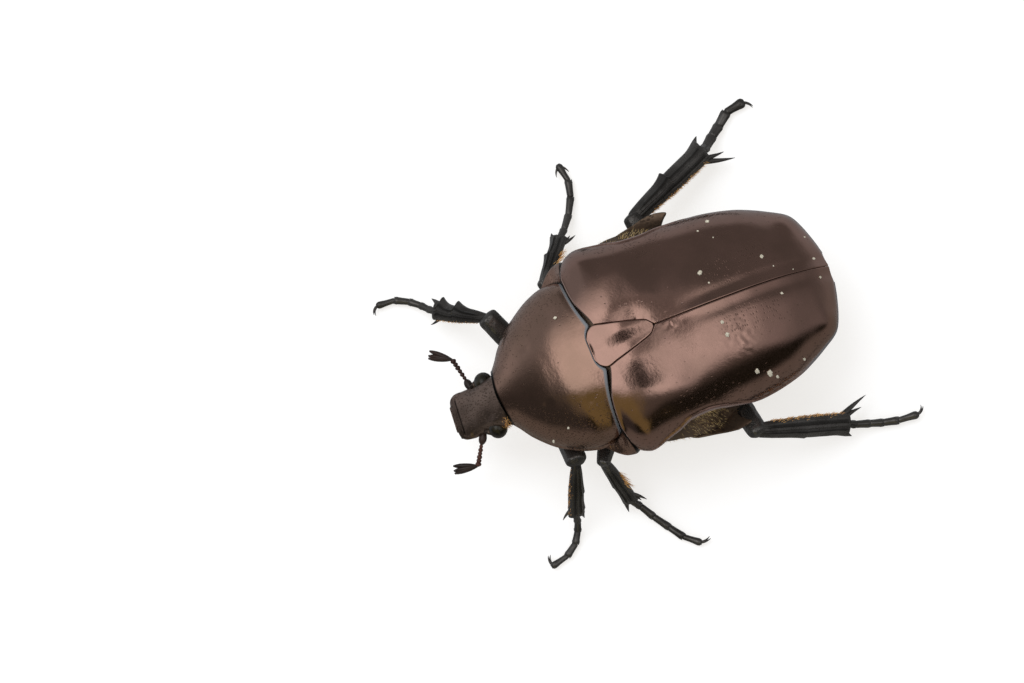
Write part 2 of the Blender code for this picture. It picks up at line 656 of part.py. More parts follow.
def build():
    materials = {
        "shell": make_material("bronze_purple_shell", (0.09, 0.045, 0.05), 0.25, 0.9),
        "underside": make_material("dark_bronze_underside", (0.05, 0.035, 0.03), 0.35, 0.8),
        "leg": make_material("black_bronze_leg", (0.03, 0.026, 0.022), 0.35, 0.7),
        "antenna": make_material("dark_red_brown_antenna", (0.05, 0.02, 0.012), 0.4, 0.0),
        "eye": make_material("dark_eye", (0.02, 0.015, 0.012), 0.2, 0.0),
    }
    scutellum = make_scutellum(materials["shell"])
    elytra = [make_elytron(side, materials["shell"]) for side in SIDES]
    prothorax = make_prothorax(materials["shell"])
    thorax, abdomen, pygidium = make_trunk(materials)
    mesepimera = [make_mesepimeron(side, materials["shell"]) for side in SIDES]

    head = make_head(materials["shell"])
    eyes = [make_eye(side, materials["eye"]) for side in SIDES]
    antennae = [make_antenna(side, materials["antenna"]) for side in SIDES]
    turn = Matrix.Translation((HEAD_SHIFT * MM, HEAD_PIVOT * MM, 0)) @ Matrix.Rotation(HEAD_TURN, 4, "Z")
    turn = turn @ Matrix.Translation((0, -HEAD_PIVOT * MM, 0))
    for piece in (head, *eyes, *antennae):
        piece.matrix_world = turn @ piece.matrix_world
    bpy.context.view_layer.update()

    legs = {key: make_leg(*key, materials) for key in STANCES}
    coxae = {key: leg[0] for key, leg in legs.items()}
    femora = {key: leg[1] for key, leg in legs.items()}

    clear_of(head, eyes + antennae)
    clear_of(prothorax, [head, scutellum])
    clear_of(prothorax, [piece for key in legs if key[0] != "hind" for piece in (coxae[key], femora[key])])
    for side, mesepimeron, elytron in zip(SIDES, mesepimera, elytra):
        clear_of(mesepimeron, [prothorax, elytron, femora["mid", side]])
    clear_of(thorax, [prothorax, *mesepimera])
    clear_of(thorax, [piece for key in legs if key[0] != "front" for piece in (coxae[key], femora[key])])
    clear_of(abdomen, [piece for key in legs if key[0] == "hind" for piece in (coxae[key], femora[key])])
    clear_of(abdomen, elytra)
    clear_of(pygidium, elytra)

    # The whole stands with the middle of its outline over the origin.
    root = bpy.data.objects.new("protaetia", None)
    parts.objects.link(root)
    bpy.context.view_layer.update()
    pieces = [piece for piece in parts.objects if piece.type == "MESH"]
    corners = [piece.matrix_world @ vert.co for piece in pieces for vert in piece.data.vertices]
    for piece in pieces:
        piece.parent = root
    middle = [(max(c[axis] for c in corners) + min(c[axis] for c in corners)) / 2 for axis in (0, 1)]
    root.location = (-middle[0], -middle[1], -min(c.z for c in corners))


for old in list(bpy.data.objects):
    bpy.data.objects.remove(old)
parts = bpy.data.collections.new("protaetia")
cutters = bpy.data.collections.new("cutters")
for group in (parts, cutters):
    bpy.context.scene.collection.children.link(group)
build()
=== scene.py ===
"""The looks of a purple flower chafer, Protaetia nigropurpurea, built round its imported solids."""

import math

import bmesh
import bpy
import numpy as np
from mathutils import Matrix, Vector, noise


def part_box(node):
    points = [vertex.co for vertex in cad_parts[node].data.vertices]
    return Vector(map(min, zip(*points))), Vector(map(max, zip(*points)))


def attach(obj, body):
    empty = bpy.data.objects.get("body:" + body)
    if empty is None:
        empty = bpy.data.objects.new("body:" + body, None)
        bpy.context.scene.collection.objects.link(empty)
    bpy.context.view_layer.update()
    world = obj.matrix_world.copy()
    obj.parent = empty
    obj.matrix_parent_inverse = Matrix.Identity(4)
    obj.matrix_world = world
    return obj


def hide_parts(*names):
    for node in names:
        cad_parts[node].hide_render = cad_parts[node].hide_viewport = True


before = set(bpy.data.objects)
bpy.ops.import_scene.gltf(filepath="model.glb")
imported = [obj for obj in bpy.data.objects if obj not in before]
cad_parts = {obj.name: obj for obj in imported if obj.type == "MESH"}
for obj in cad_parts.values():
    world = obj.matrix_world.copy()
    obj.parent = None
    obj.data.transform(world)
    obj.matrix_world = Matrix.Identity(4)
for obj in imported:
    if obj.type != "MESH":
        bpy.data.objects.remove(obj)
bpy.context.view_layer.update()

# Camera
# The photograph looks almost straight down through a long lens, 400 mm from the body. It leans
# to the animal's left, and the body lies turned in its picture.
MM = 0.001
SCUTELLUM_TIP = 0.15
VIEW_LEAN = math.radians(9.5)
VIEW_TURN = math.radians(22.1)
VIEW_DISTANCE = 400
BACK_HEIGHT = 11.2
MIDDLE_HEIGHT = 6
PIXELS_PER_MM = 14.4
PICTURE = (1024, 683)
TIP_PIXEL = (651, 325)

# Shapes are drawn in millimetres on the body. Its origin is on the floor under the tip of the
# scutellum, the head points to -Y and the animal's left is at +X. HOME is that origin in the frame.
low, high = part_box("scutellum")
HOME = Vector(((low.x + high.x) / 2, high.y - SCUTELLUM_TIP * MM, 0))
toward = Vector((math.sin(VIEW_LEAN), 0, math.cos(VIEW_LEAN)))
across = Vector((math.cos(VIEW_LEAN), 0, -math.sin(VIEW_LEAN)))
tail = Vector((0, 1, 0))
right = math.cos(VIEW_TURN) * tail + math.sin(VIEW_TURN) * across
down = math.cos(VIEW_TURN) * across - math.sin(VIEW_TURN) * tail
depth = VIEW_DISTANCE - (BACK_HEIGHT - MIDDLE_HEIGHT) * toward.z
pixel = depth / (PIXELS_PER_MM * VIEW_DISTANCE)
eyepoint = Vector((0, 0, BACK_HEIGHT)) + toward * depth
eyepoint -= (right * (TIP_PIXEL[0] - PICTURE[0] / 2) + down * (TIP_PIXEL[1] - PICTURE[1] / 2)) * pixel
camera = bpy.data.objects.new("camera", bpy.data.cameras.new("camera"))
camera.data.sensor_width = 36
camera.data.lens = camera.data.sensor_width * PIXELS_PER_MM * VIEW_DISTANCE / PICTURE[0]
camera.data.clip_start = 0.01
turned = Matrix((right, -down, toward)).transposed().to_4x4()
camera.matrix_world = Matrix.Translation(HOME + eyepoint * MM) @ turned
bpy.context.scene.collection.objects.link(camera)
bpy.context.scene.camera = camera
bpy.context.scene.view_settings.view_transform = "Standard"


# Studio
# A white glowing table top under even light. The polished shell mirrors a softbox overhead that reaches far
# to the left, the dark lens and its arm, dim walls, and a warm board low on the front left.
class Wire:
    """A socket that takes part in sums: an expression on it adds the nodes."""

    def __init__(self, tree, socket):
        self.tree = tree
        self.socket = socket

    def math(self, operation, *values):
        node = self.tree.nodes.new("ShaderNodeMath")
        node.operation = operation
        for entry, value in zip(node.inputs, values):
            plug(self.tree, entry, value)
        return Wire(self.tree, node.outputs[0])

    def __add__(self, other):
        return self.math("ADD", self, other)

    def __mul__(self, other):
        return self.math("MULTIPLY", self, other)

    def __sub__(self, other):
        return self.math("SUBTRACT", self, other)

    def __rsub__(self, other):
        return self.math("SUBTRACT", other, self)

    def __truediv__(self, other):
        return self.math("DIVIDE", self, other)

    __radd__ = __add__
    __rmul__ = __mul__

    def rise(self, start, end):
        """0 up to start, 1 from end on, and smooth between."""
        node = self.tree.nodes.new("ShaderNodeMapRange")
        node.interpolation_type = "SMOOTHSTEP"
        plug(self.tree, node.inputs["Value"], self)
        node.inputs["From Min"].default_value = start
        node.inputs["From Max"].default_value = end
        return Wire(self.tree, node.outputs["Result"])

    def fall(self, start, end):
        return 1 - self.rise(start, end)

    def hill(self, start, top, shoulder, end):
        return self.rise(start, top) * self.fall(shoulder, end)


def plug(tree, entry, value):
    """Links a wire to a node's socket, or writes a value there."""
    if isinstance(value, Wire):
        tree.links.new(value.socket, entry)
    elif isinstance(value, tuple) and len(value) == 3 and entry.type == "RGBA":
        entry.default_value = (*value, 1)
    else:
        entry.default_value = value


class Nodes:
    """Adds nodes to one tree, of a material, a world or Geometry Nodes."""

    def __init__(self, tree):
        self.tree = tree

    def node(self, kind, settings=(), inputs=(), output=0):
        node = self.tree.nodes.new(kind)
        for name, value in dict(settings).items():
            setattr(node, name, value)
        for name, value in dict(inputs).items():
            plug(self.tree, node.inputs[name], value)
        return Wire(self.tree, node.outputs[output])

    def mix(self, share, first, second):
        """A colour between two others."""
        node = self.tree.nodes.new("ShaderNodeMix")
        node.data_type = "RGBA"
        plug(self.tree, node.inputs["Factor"], share)
        colours = [entry for entry in node.inputs if entry.type == "RGBA"]
        for entry, value in zip(colours, (first, second)):
            plug(self.tree, entry, value)
        return Wire(self.tree, [entry for entry in node.outputs if entry.type == "RGBA"][0])


SOFTBOX = (1.0, 0.985, 0.97)
RIGHT_REAR_WALL = (0.12, 0.119, 0.117)
RIGHT_FRONT_WALL = (0.26, 0.27, 0.28)
FRONT_HORIZON = (0.37, 0.38, 0.39)
DUSK_ON_THE_LEFT = (0.1, 0.095, 0.085)
REAR_HIGH = (0.31, 0.3, 0.3)
REAR_LOW = (0.15, 0.15, 0.15)
GAP_ON_THE_LEFT = (0.012, 0.012, 0.008)
GAP_AHEAD = (0.05, 0.05, 0.048)
WARM_BOARD = (0.22, 0.19, 0.08)
LENS_ARM = (0.09, 0.08, 0.075)
LENS = (0.022, 0.02, 0.018)
UNDER_RIGHT = (0.27, 0.28, 0.29)
UNDER_LEFT = (0.17, 0.165, 0.15)
LENS_OUTSIDE, LENS_INSIDE = 9.5, 7.2
EVEN_LIGHT = 0.8
OVERHEAD_LIGHT = 1.35
OVERHEAD_WAY = (-0.55, -0.3, 0.9)
TABLE_RADIUS = 0.6
TABLE_DROP = 0.00002
TABLE_TINT = (0.385, 0.41, 0.45, 1)
TABLE_GLOW_TINT = (1.0, 0.96, 0.9, 1)
TABLE_GLOW = 0.68

world = bpy.data.worlds.new("studio")
world.use_nodes = True
bpy.context.scene.world = world
studio = Nodes(world.node_tree)
direction = studio.node("ShaderNodeTexCoord", output="Generated")
axes = world.node_tree.nodes.new("ShaderNodeSeparateXYZ")
plug(world.node_tree, axes.inputs[0], direction)
x, y, z = (Wire(world.node_tree, output) for output in axes.outputs)
# The sky is laid out flat: degrees from overhead, split into those to the left and those ahead.
steep = z.math("ARCCOSINE", z) * (180 / math.pi)
level = x * x + y * y
level = level.math("SQRT", level)
share = steep / level.math("MAXIMUM", level, 0.001)
left = x * share
ahead = y * share * -1
slanted = left + ahead.math("MAXIMUM", ahead, -36) * 0.7
bar = (left + ahead.math("MINIMUM", ahead, 0) * 0.7).rise(-32, -6) * slanted.fall(17, 30)
bar = bar * ahead.rise(-36, -2) * (ahead + left * 0.3).fall(4, 13)
column = left.hill(-50, -10, 9, 20) * ahead.hill(-10, 2, 37, 43)
softbox = bar.math("MAXIMUM", bar, column)
board = left.rise(12, 22) * (left + ahead).fall(95, 120)
board = board * (ahead + left.rise(44, 70) * 12).hill(2, 14, 38, 52)
colour = studio.mix(ahead.rise(0, 25) * left.fall(-40, -5), RIGHT_REAR_WALL, RIGHT_FRONT_WALL)
colour = studio.mix(ahead.rise(45, 80) * left.fall(-40, 0), colour, FRONT_HORIZON)
rear = studio.mix(ahead.rise(-95, -25), REAR_LOW, REAR_HIGH)
colour = studio.mix(left.rise(-16, 10) * ahead.fall(10, 35), colour, rear)
colour = studio.mix(slanted.rise(14, 34) * ahead.hill(-50, -36, 8, 16), colour, DUSK_ON_THE_LEFT)
colour = studio.mix(left.rise(41, 62), colour, GAP_ON_THE_LEFT)
colour = studio.mix(ahead.rise(44, 56) * left.rise(-40, 10), colour, GAP_AHEAD)
colour = studio.mix(board, colour, WARM_BOARD)
colour = studio.mix(softbox, colour, SOFTBOX)
# The arm that holds the lens shows as a second dark place behind it.
arm = left.hill(-26, -12, -4, 4) * ahead.hill(-14, -9, -3, 1)
colour = studio.mix(arm * 0.9, colour, LENS_ARM)
toward_lens = studio.node(
    "ShaderNodeVectorMath", {"operation": "DOT_PRODUCT"}, {0: direction, 1: tuple(toward)}, output="Value"
)
lens = toward_lens.rise(*(math.cos(math.radians(angle)) for angle in (LENS_OUTSIDE, LENS_INSIDE)))
colour = studio.mix(lens, colour, LENS)
under = studio.mix(left.rise(-50, 40), UNDER_RIGHT, UNDER_LEFT)
colour = studio.mix(steep.rise(90, 106), colour, under)
mirrored = studio.node("ShaderNodeBackground", inputs={"Color": colour, "Strength": 1.0})
even = studio.node("ShaderNodeBackground", inputs={"Color": (1, 1, 1), "Strength": EVEN_LIGHT})
plain = studio.node("ShaderNodeBackground", inputs={"Color": (1, 1, 1), "Strength": 1.0})
glossy = studio.node("ShaderNodeLightPath", output="Is Glossy Ray")
seen = studio.node("ShaderNodeLightPath", output="Is Camera Ray")
light = studio.node("ShaderNodeMixShader", inputs={0: glossy, 1: even, 2: mirrored})
light = studio.node("ShaderNodeMixShader", inputs={0: seen, 1: light, 2: plain})
plug(world.node_tree, world.node_tree.nodes["World Output"].inputs["Surface"], light)
world.node_tree.nodes.remove(world.node_tree.nodes["Background"])

sun = bpy.data.objects.new("overhead_light", bpy.data.lights.new("overhead_light", "SUN"))
sun.data.energy = OVERHEAD_LIGHT
sun.data.angle = math.radians(45)
sun.rotation_euler = Vector(OVERHEAD_WAY).to_track_quat("Z", "Y").to_euler()
sun.visible_glossy = False
bpy.context.scene.collection.objects.link(sun)

bpy.ops.mesh.primitive_circle_add(
    vertices=96, radius=TABLE_RADIUS, fill_type="NGON", location=(0, 0, -TABLE_DROP)
)
floor = bpy.context.object
floor.name = "floor"
floor.visible_glossy = False
white = bpy.data.materials.new("white_table")
white.use_nodes = True
table = white.node_tree.nodes["Principled BSDF"]
table.inputs["Base Color"].default_value = TABLE_TINT
table.inputs["Roughness"].default_value = 0.9
table.inputs["Specular IOR Level"].default_value = 0.1
table.inputs["Emission Color"].default_value = TABLE_GLOW_TINT
table.inputs["Emission Strength"].default_value = TABLE_GLOW
floor.data.materials.append(white)


# Elytra
# The two wing cases: thin vaulted shells of polished cuticle that meet at the suture, with a raised
# rim, a bump at the shoulder and one near the end, and rows of punctures on the inner disc.
def profile(*points):
    """A smooth curve through (place, value) points that never swings past them."""
    steps = [(b[1] - a[1]) / (b[0] - a[0]) for a, b in zip(points, points[1:])]
    slopes = [steps[0]]
    for before, after in zip(steps, steps[1:]):
        slopes.append(2 * before * after / (before + after) if before * after > 0 else 0)
    slopes.append(steps[-1])

    def value(place):
        place = min(max(place, points[0][0]), points[-1][0])
        i = max(k for k in range(len(points) - 1) if points[k][0] <= place)
        (start, first), (end, last) = points[i], points[i + 1]
        width = end - start
        t = (place - start) / width
        curve = first * (1 + 2 * t) * (1 - t) ** 2 + last * t * t * (3 - 2 * t)
        return curve + width * t * (1 - t) * (slopes[i] * (1 - t) - slopes[i + 1] * t)

    return value


SIDES = {"left": 1, "right": -1}
ELYTRA_END = 13.05
ELYTRA_WIDTH = profile(
    (-4.3, 6.7), (-3.6, 7.3), (-3.0, 7.5), (-1.5, 7.38), (0.5, 7.36), (2.25, 7.3), (4, 7.0), (6, 6.8),
    (8.3, 6.3), (9.7, 5.7), (11.1, 4.9), (11.8, 4.3), (12.4, 3.3), (12.85, 2.0), (ELYTRA_END, 1.1),
)
ELYTRA_BACK = profile(
    (-4.3, 11.02), (-3.2, 11.17), (-2, 11.24), (-0.8, 11.19), (1.5, 10.99), (4, 10.78), (7, 10.3), (9, 9.6),
    (11, 8.25), (12, 7.3), (12.6, 6.6), (ELYTRA_END, 5.95),
)
ELYTRA_MARGIN = profile((-4.3, 7.1), (-2, 6.6), (0, 6.0), (5, 5.5), (9, 5.2), (ELYTRA_END, 5.3))
# Behind the shoulder the side edge rises in an arch that leaves the flank bare.
ELYTRA_EDGE = profile(
    (-4.3, 7.1), (-3, 7.05), (-1.8, 7.6), (-0.9, 7.95), (0.3, 8.5), (1.35, 8.4), (2.25, 8.1), (3.3, 7.35),
    (4.6, 6.1), (5.5, 5.5), (9, 5.2), (ELYTRA_END, 5.3),
)
ELYTRA_FLATNESS = 2.6
ELYTRON_THICKNESS = 0.35
SUTURE = 0.004
SEAM = 0.06
EDGE_ROUNDING = 0.07
MARGIN_ROLL = 0.22
MARGIN_FOLDS = 5
SHOULDER = 5.6
SHOULDER_SETBACK = 0.3
PRONOTUM_BASE = -4.6
PRONOTUM_LOBE = 0.95
PRONOTUM_LOBE_SPREAD = 2.65
SCUTELLUM_FRONT = -4.5
SCUTELLUM_WIDTH = profile(
    (SCUTELLUM_FRONT, 0.75), (-4.2, 1.28), (-3.75, 1.52), (-3, 1.33), (-2, 1.07), (-1, 0.78), (-0.2, 0.5),
    (SCUTELLUM_TIP, 0.12),
)
SUTURE_RIDGE, SUTURE_RIDGE_WIDTH = 0.05, 0.26
SUTURE_FURROW, SUTURE_FURROW_PLACE, SUTURE_FURROW_WIDTH = 0.03, 0.7, 0.3
SIDE_FURROW, SIDE_RIDGE, SIDE_LINE_WIDTH = 0.06, 0.05, 0.02
RIGHT_DIP = 0.3
# Where each wing case is a little crumpled: place, spread and strength.
CRUMPLES = {
    "left": (((0.45, 1.3), (0.35, 0.9), 0.8), ((2.9, 5.4), (1.0, 0.8), 0.9)),
    "right": (((0.5, -0.6), (0.4, 0.6), 0.8), ((2.9, 5.4), (1.0, 0.8), 0.2)),
}


def step(value, start, end):
    """0 up to start, 1 from end on, and smooth between."""
    t = min(max((value - start) / (end - start), 0), 1)
    return t * t * (3 - 2 * t)


def hill(value, start, top, shoulder, end):
    """1 from top to shoulder, 0 outside start and end, and smooth between."""
    return step(value, start, top) * (1 - step(value, shoulder, end))


def bump(x, y, place, spread, height):
    """A rounded rise, or a hollow where the height is negative."""
    return height * math.exp(-(((x - place[0]) / spread[0]) ** 2) - ((y - place[1]) / spread[1]) ** 2)


def wave(value, place, width):
    """A rounded rise across a value, 1 high at its place."""
    return math.exp(-(((value - place) / width) ** 2))


def wobble(point, size, height):
    return height * noise.noise(Vector(point) / size)


def crowd(count, edge, end_edge=None):
    """Shares from 0 to 1 that stand close together within an edge at either end."""
    end_edge = edge if end_edge is None else end_edge
    shares = [edge * (1 - math.cos(math.pi / 2 * k / 4)) for k in range(4)]
    shares += [edge + (1 - edge - end_edge) * k / count for k in range(count + 1)]
    return shares + [1 - end_edge * math.cos(math.pi / 2 * k / 4) for k in range(1, 5)]


def curl_down(inside):
    """How far a rounded edge lies under the flat, at a distance inside it."""
    left = 1 - min(max(inside / EDGE_ROUNDING, 0), 1)
    return EDGE_ROUNDING * (1 - math.sqrt(1 - left**2))


def quads(rows, columns, around):
    """The faces of a grid, and the row and the column that each starts from."""
    i, j = np.meshgrid(np.arange(rows - 1), np.arange(columns if around else columns - 1), indexing="ij")
    k = (j + 1) % columns
    corners = [i * columns + j, i * columns + k, (i + 1) * columns + k, (i + 1) * columns + j]
    return np.stack(corners, axis=-1).reshape(-1, 4).tolist(), i, j


def normals_of(grid):
    """Unit normals of a grid of points."""
    found = np.cross(np.gradient(grid, axis=0), np.gradient(grid, axis=1))
    return found / np.maximum(np.linalg.norm(found, axis=2, keepdims=True), 1e-9)


def make_skin(name, grid, around=False, masks=()):
    """A smooth sheet through a grid of points in millimetres, with its masks kept as attributes."""
    rows, columns = grid.shape[:2]
    faces, i, j = quads(rows, columns, around)
    mesh = bpy.data.meshes.new(name)
    points = grid.reshape(-1, 3) * MM + np.array(HOME)
    mesh.from_pydata(points.tolist(), [], faces)
    for mask, values in dict(masks).items():
        values = np.asarray(values, np.float32)
        vector = values.ndim == 3
        layer = mesh.attributes.new(mask, "FLOAT_VECTOR" if vector else "FLOAT", "POINT")
        layer.data.foreach_set("vector" if vector else "value", values.ravel())
    # The unwrap runs along the length, 20 mm to 1, and once around.
    length = np.linalg.norm(np.diff(grid.mean(axis=1), axis=0), axis=1).sum() / 20
    unwrap = [np.stack(corner, -1) for corner in ((i, j), (i, j + 1), (i + 1, j + 1), (i + 1, j))]
    unwrap = np.stack(unwrap, axis=2) * [length / rows, 1 / columns]
    mesh.uv_layers.new(name="unwrap").data.foreach_set("uv", unwrap.astype(np.float32).ravel())
    return add_piece(name, mesh)


def even(grid, **values):
    """Masks that are the same all over a grid."""
    return {mask: np.full(grid.shape[:2], value) for mask, value in values.items()}


def add_piece(name, mesh):
    """Merges doubled points, turns the faces outwards and adds the object."""
    bm = bmesh.new()
    bm.from_mesh(mesh)
    bmesh.ops.remove_doubles(bm, verts=bm.verts, dist=1e-7)
    bmesh.ops.dissolve_degenerate(bm, edges=bm.edges, dist=1e-8)
    bmesh.ops.recalc_face_normals(bm, faces=bm.faces)
    bm.to_mesh(mesh)
    bm.free()
    mesh.shade_smooth()
    piece = bpy.data.objects.new(name, mesh)
    bpy.context.scene.collection.objects.link(piece)
    return piece


def bake_down(piece):
    """Turns the evaluated object into a plain mesh and drops its modifiers."""
    bpy.context.view_layer.update()
    mesh = bpy.data.meshes.new_from_object(piece.evaluated_get(bpy.context.evaluated_depsgraph_get()))
    piece.modifiers.clear()
    piece.data = mesh


def settle(piece, material, slot, *nodes):
    """Gives a finished piece its material and its place in the model."""
    piece.data.materials.clear()
    piece.data.materials.append(material)
    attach(piece, "root")
    if nodes:
        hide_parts(*nodes)


def new_material(name):
    """A material with the adder of its nodes, its shader, and the place on the surface in millimetres."""
    material = bpy.data.materials.new(name)
    material.use_nodes = True
    nodes = Nodes(material.node_tree)
    place = nodes.node("ShaderNodeTexCoord", output="Object")
    scaled = nodes.node("ShaderNodeVectorMath", {"operation": "SCALE"}, {0: place, "Scale": 1 / MM})
    return material, nodes, material.node_tree.nodes["Principled BSDF"], scaled


EDGE_REFLECTION_TINT = (0.16, 0.17, 0.185)
BLACK_AND_SHADE_TINT = (0.012, 0.011, 0.01)
# Factors across, along and upwards that set how dense a pattern is. Striae lie in the unwrap instead.
PIT_CELLS = (1.25, 0.8, 1.0)
ROW_CELLS = (3.0, 6.2, 0.0)
STRIA_CELLS = (32.0, 34.0, 0.0)
PIT_SHADE = 0.42
PIT_TINT = 0.22
LINE_HEIGHT = -0.012


def cuticle(name, tint, deep, roughness, metallic, pit_size=0.16, pit_depth=0.005, grain=0.0045, striae=0.0):
    """Polished cuticle: a metallic tint that drifts, and a fine grain. Masks say where it has punctures,
    fine lines and rows of punctures, where a blue-grey reflection is painted along the edges, and where it is
    darkened, for black parts and for painted shade in gaps, furrows and grooves."""
    material, nodes, shader, scaled = new_material(name)
    tree = material.node_tree

    def spread_out(vector, amounts):
        return nodes.node("ShaderNodeVectorMath", {"operation": "MULTIPLY"}, {0: vector, 1: amounts})

    masks = {
        mask: nodes.node("ShaderNodeAttribute", {"attribute_name": mask}, output="Fac")
        for mask in ("rim", "pitted", "lined", "rows", "seam")
    }
    drift = nodes.node("ShaderNodeTexNoise", inputs={"Vector": scaled, "Scale": 0.45, "Detail": 4.0})
    fine = nodes.node("ShaderNodeTexNoise", inputs={"Vector": scaled, "Scale": 5.0, "Detail": 5.0})
    # Punctures sit in cells, and a cell has one only where its own random value is under the mask.
    cells = tree.nodes.new("ShaderNodeTexVoronoi")
    plug(tree, cells.inputs["Vector"], spread_out(scaled, PIT_CELLS))
    cells.inputs["Scale"].default_value = 1 / (2.2 * pit_size)
    chance = nodes.node("ShaderNodeSeparateColor", inputs={0: Wire(tree, cells.outputs["Color"])})
    pit = Wire(tree, cells.outputs["Distance"]).fall(0.26, 0.46) * (masks["pitted"] - chance).rise(0, 0.05)
    row_cells = nodes.node(
        "ShaderNodeTexVoronoi",
        inputs={"Vector": spread_out(scaled, ROW_CELLS), "Scale": 1.0, "Randomness": 0.45},
        output="Distance",
    )
    row_pit = row_cells.fall(0.16, 0.36) * masks["rows"]
    lines = nodes.node(
        "ShaderNodeTexWave",
        {"wave_type": "BANDS", "bands_direction": "DIAGONAL"},
        {"Vector": scaled, "Scale": 1.3, "Distortion": 9.0, "Detail": 3.0, "Detail Scale": 0.8},
        output="Fac",
    )
    line = lines * masks["lined"]
    hollow = pit.math("MAXIMUM", pit, row_pit)
    colour = nodes.mix(drift.rise(0.3, 0.7), deep, tint)
    colour = nodes.mix(fine.rise(0.3, 0.9) * 0.3, colour, deep)
    colour = nodes.mix(hollow * PIT_SHADE, colour, tuple(PIT_TINT * value for value in deep))
    # The rim mask paints a blue-grey reflection along the edges, where the shell is also made less metallic.
    colour = nodes.mix(masks["rim"], colour, EDGE_REFLECTION_TINT)
    # The seam mask darkens black parts, and paints shade into gaps between plates, furrows and grooves.
    colour = nodes.mix(masks["seam"], colour, BLACK_AND_SHADE_TINT)
    plug(tree, shader.inputs["Base Color"], colour)
    plug(tree, shader.inputs["Roughness"], roughness + fine * 0.06 + hollow * 0.25 + masks["rim"] * 0.1)
    plug(tree, shader.inputs["Metallic"], metallic * (1 - masks["rim"] * 0.7))
    surface = fine * grain + line * LINE_HEIGHT - hollow * pit_depth
    if striae:
        # Fine lines run along each joint of a leg.
        strip = spread_out(nodes.node("ShaderNodeUVMap", {"uv_map": "unwrap"}), STRIA_CELLS)
        stria = nodes.node("ShaderNodeTexNoise", inputs={"Vector": strip, "Scale": 1.0, "Detail": 4.0})
        surface = surface + stria * striae
    normal = nodes.node("ShaderNodeBump", inputs={"Height": surface, "Distance": MM, "Strength": 1.0})
    plug(tree, shader.inputs["Normal"], normal)
    return material


def pronotum_base(x):
    """Where the pronotum's base runs: a wide lobe in the middle."""
    return PRONOTUM_BASE + PRONOTUM_LOBE * wave(x, 0, PRONOTUM_LOBE_SPREAD)


def elytra_front(x):
    """Where the front edge of the wing cases runs, set back at the shoulders."""
    return pronotum_base(x) + SEAM + SHOULDER_SETBACK * max(0, x - SHOULDER)


def elytra_inner(y):
    """Where the inner edge of a wing case runs, round the scutellum and along the suture."""
    return SUTURE if y > SCUTELLUM_TIP else SCUTELLUM_WIDTH(y) + 0.6 * SEAM


def elytra_point(y, share):
    """A point of an elytron's outer face, where share runs from its inner edge to the side margin."""
    start = math.asin((elytra_inner(y) / ELYTRA_WIDTH(y)) ** (ELYTRA_FLATNESS / 2))
    margin = ELYTRA_MARGIN(y)
    edge = (ELYTRA_EDGE(y) - margin) / (ELYTRA_BACK(y) - margin)
    turn = start + (math.acos(min(max(edge, 0), 1)) - start) * share
    x = ELYTRA_WIDTH(y) * math.sin(turn) ** (2 / ELYTRA_FLATNESS)
    return x, margin + (ELYTRA_BACK(y) - margin) * math.cos(turn)


def vault(x, wide, flatness, back, margin):
    """The height of a vaulted back at a distance x from the middle line."""
    return margin + (back - margin) * math.sqrt(1 - min(abs(x) / wide, 1) ** flatness)


def elytra_height(x, y):
    return vault(x, ELYTRA_WIDTH(y), ELYTRA_FLATNESS, ELYTRA_BACK(y), ELYTRA_MARGIN(y))


def elytra_relief(x, y, side):
    """How far the surface rises over the plain vault."""
    rise = bump(x, y, (6.1, -2.8), (0.9, 1.1), 0.12) + bump(x, y, (3.8, 11.5), (1.0, 0.8), 0.16)
    rise += SUTURE_RIDGE * wave(x, 0, SUTURE_RIDGE_WIDTH) * step(y, 0.3, 4)
    rise -= SUTURE_FURROW * wave(x, SUTURE_FURROW_PLACE, SUTURE_FURROW_WIDTH) * step(y, 1.5, 5)
    rise += bump(x, y, (2.3, 6.5), (0.9, 2.4), -0.02) + bump(x, y, (5.2, -0.4), (1.7, 2.2), 0.27)
    rough = sum(bump(x, y, *crumple) for crumple in CRUMPLES[side])
    rise += rough * (wobble((x, y, 3), 0.33, 0.05) + wobble((x, y, 7), 0.15, 0.016))
    if side == "right":
        # The right one dips towards the scutellum.
        rise -= RIGHT_DIP * (1 + math.tanh((1.6 - x) / 0.8)) / 2 * wave(y, -1.5, 1.7)
    return rise


